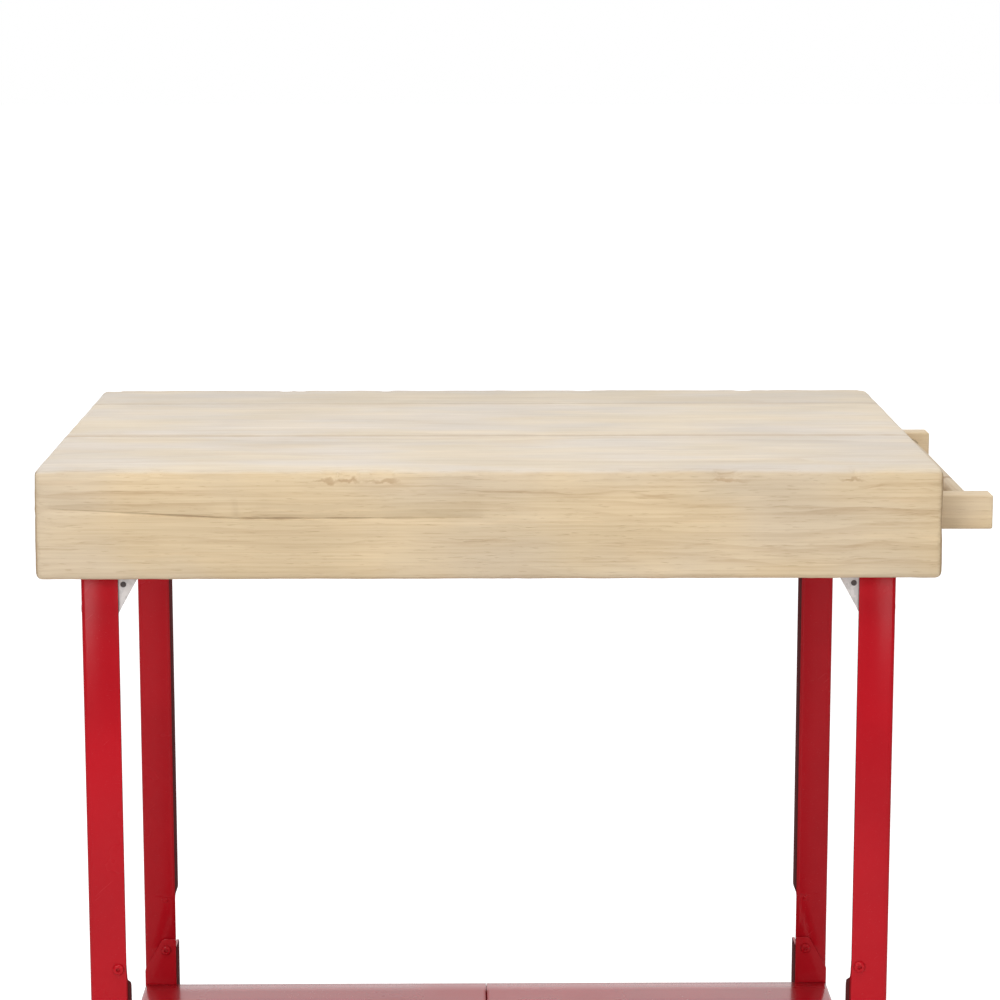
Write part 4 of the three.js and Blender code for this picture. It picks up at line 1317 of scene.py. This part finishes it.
class WORKBENCH_OT_hanging_rail(bpy.types.Operator):
    """Model the two wooden brackets and the rod that turns in them"""

    bl_idname = "workbench.hanging_rail"
    bl_label = "Hanging rail"
    bl_options = {"REGISTER", "UNDO"}

    def execute(self, context):
        quarter = math.pi / 2
        rod_low, rod_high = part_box("hanging_rod")
        centre = (rod_low + rod_high) / 2
        # The brackets' timber is lightened, the rear one most: painted light that offsets the shade the top's
        # end casts on them.
        for end, x, tone in (("front", 0.21, 1.03), ("rear", 0.47, 1.15)):
            material = timber_material(
                f"Timber {end} bracket", pith=(x, centre.y * 0.4 - 0.06, centre.z - 0.07),
                tone=tone, figure=0.03, streaks=0.3, contrast=0.9,
            )
            piece = carve_rail_bracket(end)
            hand_over(piece, material, [f"rail_bracket_{end}"])
        radius = (rod_high.x - rod_low.x) / 2
        rod = new_round(
            "turned_rod", radius, (centre.x, rod_low.y, centre.z), (centre.x, rod_high.y, centre.z), 64,
        )
        ease_edges(rod, 1.0 * MM, degrees=50, segments=4)
        material = timber_material(
            "Timber rod", pith=(centre.x - 0.03, 0.02, centre.z - 0.05), turn=(0, 0, quarter),
            tone=0.98, figure=0.02, streaks=0.25, contrast=0.8,
        )
        hand_over(rod, material, ["hanging_rod"], body="rod")
        return {"FINISHED"}


# ------------------------------------------------------------------ fasteners


def grow_collar(piece, seat, ratio, height, ease, segments):
    """Widens the flat end at the height seat into a round collar with an eased rim."""
    choose(piece, "FACE", at(z=seat))
    extrude((0, 0, 0))
    bpy.ops.transform.resize(value=(ratio, ratio, 1))
    extrude((0, 0, height))
    choose(piece, "EDGE", at(z=seat + height))
    bpy.ops.mesh.bevel(offset=abs(height) * ease, segments=segments, affect="EDGES")


def pattern_fastener(kind, head_radius, head_height, shank_radius, length, tail=None):
    """A fastener standing along +Z with the seat of its head at the origin."""
    piece = new_round(kind, shank_radius, (0, 0, -length), (0, 0, 0), 24)
    edit(piece)
    grow_collar(piece, 0, head_radius / shank_radius, head_height, 0.8, 4)
    if kind == "screw":
        choose(piece, "FACE", at(z=-length))
        extrude((0, 0, -2.2 * shank_radius))
        bpy.ops.transform.resize(value=(0.1, 0.1, 1))
    if tail is not None:
        tail_radius, tail_height = tail
        grow_collar(piece, -length, tail_radius / shank_radius, -tail_height, 0.7, 3)
    done()
    if kind == "bolt":
        floor, above = head_height * 0.25, head_height * 3
        cut_away(piece, new_round("hexagon", head_radius * 0.42, (0, 0, floor), (0, 0, above), 6))
    if kind in ("screw", "sunk_screw"):
        arm, reach = head_radius * 0.13, head_radius * 0.6
        floor = head_height * 0.35
        cross = [
            new_box("slot", (-a, -b, floor), (a, b, 3 * head_height)) for a, b in ((arm, reach), (reach, arm))
        ]
        cut_away(piece, *cross)
    smooth(piece, 30)
    return piece


def copy_to(pattern, node, axis, name):
    """Copies a fastener with its own mesh, its head at that end of the CAD node's box."""
    low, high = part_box(node)
    axis = Vector(axis)
    centre = (low + high) / 2
    tip = centre + (high - low) / 2 * axis
    copy = pattern.copy()
    copy.data = pattern.data.copy()
    bpy.context.scene.collection.objects.link(copy)
    crown = max(vertex.co.z for vertex in pattern.data.vertices)
    turn = axis.to_track_quat("Z", "Y").to_matrix().to_4x4()
    copy.matrix_world = Matrix.Translation(tip - axis * crown) @ turn
    return settle(copy, name)


def mould_plug(name, place, radius):
    """A snap-in plug with a low dome, which closes an open hole from the front."""
    stem = new_round(name, radius - 0.25 * MM, place + Vector((0, 2.6 * MM, 0)), place, 24)
    edit(stem)
    choose(stem, "FACE", at(y=place.y))
    extrude((0, 0, 0))
    grown = (radius + 0.3 * MM) / (radius - 0.25 * MM)
    bpy.ops.transform.resize(value=(grown, 1, grown))
    extrude((0, -0.5 * MM, 0))
    choose(stem, "EDGE", at(y=place.y - 0.5 * MM))
    bpy.ops.mesh.bevel(offset=0.3 * MM, segments=3, affect="EDGES")
    done()
    smooth(stem, 30)
    return stem


class WORKBENCH_OT_hole_plugs(bpy.types.Operator):
    """Model the plugs in the open holes of the brackets and the rear legs"""

    bl_idname = "workbench.hole_plugs"
    bl_label = "Hole plugs"
    bl_options = {"REGISTER", "UNDO"}

    def execute(self, context):
        steel = context.scene.workbench_steel
        nylon = shared("Grey nylon", moulded_material, colour=context.scene.workbench_hardware.nylon)
        paint = shared("Red powder coat", paint_material)
        radius = steel.spare_hole / 2
        for corner in CORNERS:
            hand = inner_sign(corner)
            leg_low, leg_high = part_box(f"leg_{corner}")
            _, inner = outer_and_inner(leg_low, leg_high, hand)
            low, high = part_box(f"corner_bracket_{corner}")
            hole = Vector((inner + hand * steel.spare_hole, low.y - 0.05 * MM, high.z - 8 * MM))
            # The dark bracket plugs stand in for the shade seen in the brackets' holes: painted shade.
            spots = [("bracket_plug", hole, nylon, "foot_rubber")]
            if corner.startswith("rear"):
                hole = Vector((
                    inner - hand * steel.spare_hole_inset, leg_low.y - 0.05 * MM,
                    SHELF_HEIGHT + steel.spare_hole_rise,
                ))
                spots.append(("leg_plug", hole, paint, "red_paint"))
            for kind, hole, material, slot in spots:
                plug = mould_plug(f"{kind}_{corner}", hole, radius)
                plug.data.materials.append(material)
                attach(plug, "bench")
        return {"FINISHED"}


class WORKBENCH_OT_fasteners(bpy.types.Operator):
    """Model the bolts, rivets and screws once each, copy them, and finish the nuts"""

    bl_idname = "workbench.fasteners"
    bl_label = "Fasteners"
    bl_options = {"REGISTER", "UNDO"}

    def execute(self, context):
        shank = context.scene.workbench_hardware.shank / 2
        paint = shared("Red powder coat", paint_material)
        zinc = shared("Zinc plate", zinc_material)
        bolt = pattern_fastener("bolt", 4 * MM, 2 * MM, shank, 10 * MM)
        rivet_short, rivet_long = (
            pattern_fastener("rivet", 4 * MM, 1 * MM, shank, grip, tail=(3.2 * MM, 1.4 * MM))
            for grip in (4.4 * MM, 4.9 * MM)
        )
        screw = pattern_fastener("screw", 3.75 * MM, 2.2 * MM, 1.9 * MM, 23.8 * MM)
        rail_screw = pattern_fastener("sunk_screw", 3.5 * MM, 3 * MM, shank, 66 * MM)
        jobs = []
        for corner in CORNERS:
            hand = inner_sign(corner)
            jobs.append((rivet_short, f"bracket_rivet_{corner}", (-hand, 0, 0), paint, "red_paint"))
            jobs.append((rivet_long, f"beam_rivet_{corner}", (hand, 0, 0), paint, "red_paint"))
            for end in ("outer", "inner"):
                jobs.append((screw, f"bracket_screw_{corner}_{end}", (0, 0, -1), zinc, "zinc_plate"))
        for side in SIDES:
            hand = inner_sign(side)
            jobs.append((rivet_long, f"side_rail_rivet_{side}", (-hand, 0, 0), paint, "red_paint"))
            for kind in ("stiffener", "tab"):
                jobs.append((bolt, f"{kind}_bolt_{side}", (0, -1, 0), paint, "red_paint"))
                dress(f"{kind}_nut_{side}", zinc, ease=0.3 * MM)
        for end in ("front", "rear"):
            for level in ("upper", "lower"):
                jobs.append((rail_screw, f"rail_screw_{end}_{level}", (1, 0, 0), zinc, "zinc_plate"))
        for pattern, node, axis, material, slot in jobs:
            hand_over(copy_to(pattern, node, axis, f"set_{node}"), material, [node])
        for pattern in (bolt, rivet_short, rivet_long, screw, rail_screw):
            bpy.data.objects.remove(pattern)
        return {"FINISHED"}


# ------------------------------------------------------------------ stage


def floor_material():
    """Pale matt floor that looks brighter to the camera than it is to the bench."""
    look = bpy.context.scene.workbench_studio
    material, tree, shader, place = new_material("Studio sweep")
    faint = tree.noise(place, 3.0, 3.0)
    tone = tree.spread(faint, 0.3, 0.7, 0.985, 1.0)
    colour = tree.tinted(colour4(look.floor), tone)
    tree.feed(shader.inputs["Base Color"], colour)
    shader.inputs["Roughness"].default_value = 0.9
    shader.inputs["Specular IOR Level"].default_value = 0.1
    shader.inputs["Emission Color"].default_value = (1, 1, 1, 1)
    seen = tree.add("ShaderNodeLightPath").outputs["Is Camera Ray"]
    tree.feed(shader.inputs["Emission Strength"], tree.times(seen, look.floor_glow))
    return material


def hang_sky(look):
    """White to the camera; to the bench it is bright behind, dimmer in front and at the sides."""
    world = bpy.data.worlds.new("Studio")
    world.use_nodes = True
    tree = Tree(world.node_tree)
    background = world.node_tree.nodes["Background"]
    seen = tree.add("ShaderNodeLightPath").outputs["Is Camera Ray"]
    x, y, _ = tree.split(tree.add("ShaderNodeTexCoord").outputs["Generated"])
    depth = tree.spread(y, -0.8, 0.8, look.sky_front, look.sky_back)
    flags = tree.spread(tree.math("ABSOLUTE", x), 0.7, 0.95, 1.0, look.sky_sides)
    light = tree.times(depth, flags)
    strength = tree.add("ShaderNodeMix", data_type="FLOAT")
    tree.feed(strength.inputs[0], seen)
    tree.feed(strength.inputs[2], light)
    strength.inputs[3].default_value = 1.0
    background.inputs["Color"].default_value = (1, 1, 1, 1)
    tree.feed(background.inputs["Strength"], strength.outputs[0])
    return world


class WORKBENCH_OT_stage(bpy.types.Operator):
    """Set up the floor, the lights and the camera"""

    bl_idname = "workbench.stage"
    bl_label = "Stage"
    bl_options = {"REGISTER", "UNDO"}

    def execute(self, context):
        look = context.scene.workbench_studio
        floor = new_plate("studio_floor", (-20, -20, 0), (20, 20, 0))
        floor.data.materials.append(floor_material())
        context.scene.world = hang_sky(look)
        aim = Vector((BENCH_MIDDLE, 0, SURFACE_HEIGHT * 0.7))
        self.add_light("overhead_light", look.overhead, 1.4, Vector((BENCH_MIDDLE - 0.2, -1.0, 2.4)), aim)
        for name, share, x in (("front_left_light", 0.6, -1.0), ("front_right_light", 0.4, 0.95)):
            self.add_light(name, share * look.front, 0.9, Vector((BENCH_MIDDLE + x, -2.4, 1.2)), aim)
        eye = Vector((
            BENCH_MIDDLE + look.eye_shift, TOP_LOW.y - look.stand_off, SURFACE_HEIGHT + look.eye_rise,
        ))
        start_clean()
        bpy.ops.object.camera_add(location=eye, rotation=(math.pi / 2 - look.tilt, 0, -look.turn))
        camera = context.object
        camera.name = "bench_camera"
        camera.data.lens = look.lens
        camera.data.sensor_width = 36
        camera.data.clip_start = 0.05
        camera.data.dof.use_dof = False
        context.scene.camera = camera
        context.scene.view_settings.view_transform = "Standard"
        return {"FINISHED"}

    @staticmethod
    def add_light(name, power, size, place, aim):
        start_clean()
        bpy.ops.object.light_add(type="AREA", radius=size, location=place)
        light = bpy.context.object
        light.name = name
        light.data.energy = power
        light.data.size = size
        light.rotation_mode = "QUATERNION"
        light.rotation_quaternion = (aim - place).to_track_quat("-Z", "Y")


class WORKBENCH_PT_sidebar(bpy.types.Panel):
    """Lists the workbench's pieces and settings"""

    bl_idname = "WORKBENCH_PT_sidebar"
    bl_label = "Toy workbench"
    bl_space_type = "VIEW_3D"
    bl_region_type = "UI"
    bl_category = "Workbench"

    def draw(self, context):
        column = self.layout.column(align=True)
        for operator in OPERATORS:
            column.operator(operator.bl_idname)
        for field, group in SETTINGS.items():
            box = self.layout.box()
            box.label(text=group.__name__)
            for name in group.__annotations__:
                box.prop(getattr(context.scene, field), name)


SETTINGS = {
    "workbench_timber": TimberLook,
    "workbench_steel": SteelLook,
    "workbench_hardware": HardwareLook,
    "workbench_studio": StudioLook,
}
OPERATORS = (
    WORKBENCH_OT_timber_top,
    WORKBENCH_OT_legs,
    WORKBENCH_OT_corner_brackets,
    WORKBENCH_OT_feet,
    WORKBENCH_OT_shelf,
    WORKBENCH_OT_hanging_rail,
    WORKBENCH_OT_fasteners,
    WORKBENCH_OT_hole_plugs,
    WORKBENCH_OT_stage,
)


def register():
    for cls in (*SETTINGS.values(), *OPERATORS, WORKBENCH_PT_sidebar):
        bpy.utils.register_class(cls)
    for field, group in SETTINGS.items():
        setattr(bpy.types.Scene, field, bpy.props.PointerProperty(type=group))


def unregister():
    for field in SETTINGS:
        delattr(bpy.types.Scene, field)
    for cls in (WORKBENCH_PT_sidebar, *reversed(OPERATORS), *SETTINGS.values()):
        bpy.utils.unregister_class(cls)


def main():
    register()
    bpy.ops.workbench.timber_top()
    bpy.ops.workbench.legs()
    bpy.ops.workbench.corner_brackets()
    bpy.ops.workbench.feet()
    bpy.ops.workbench.shelf()
    bpy.ops.workbench.hanging_rail()
    bpy.ops.workbench.fasteners()
    bpy.ops.workbench.hole_plugs()
    bpy.ops.workbench.stage()


if __name__ == "__main__":
    main()
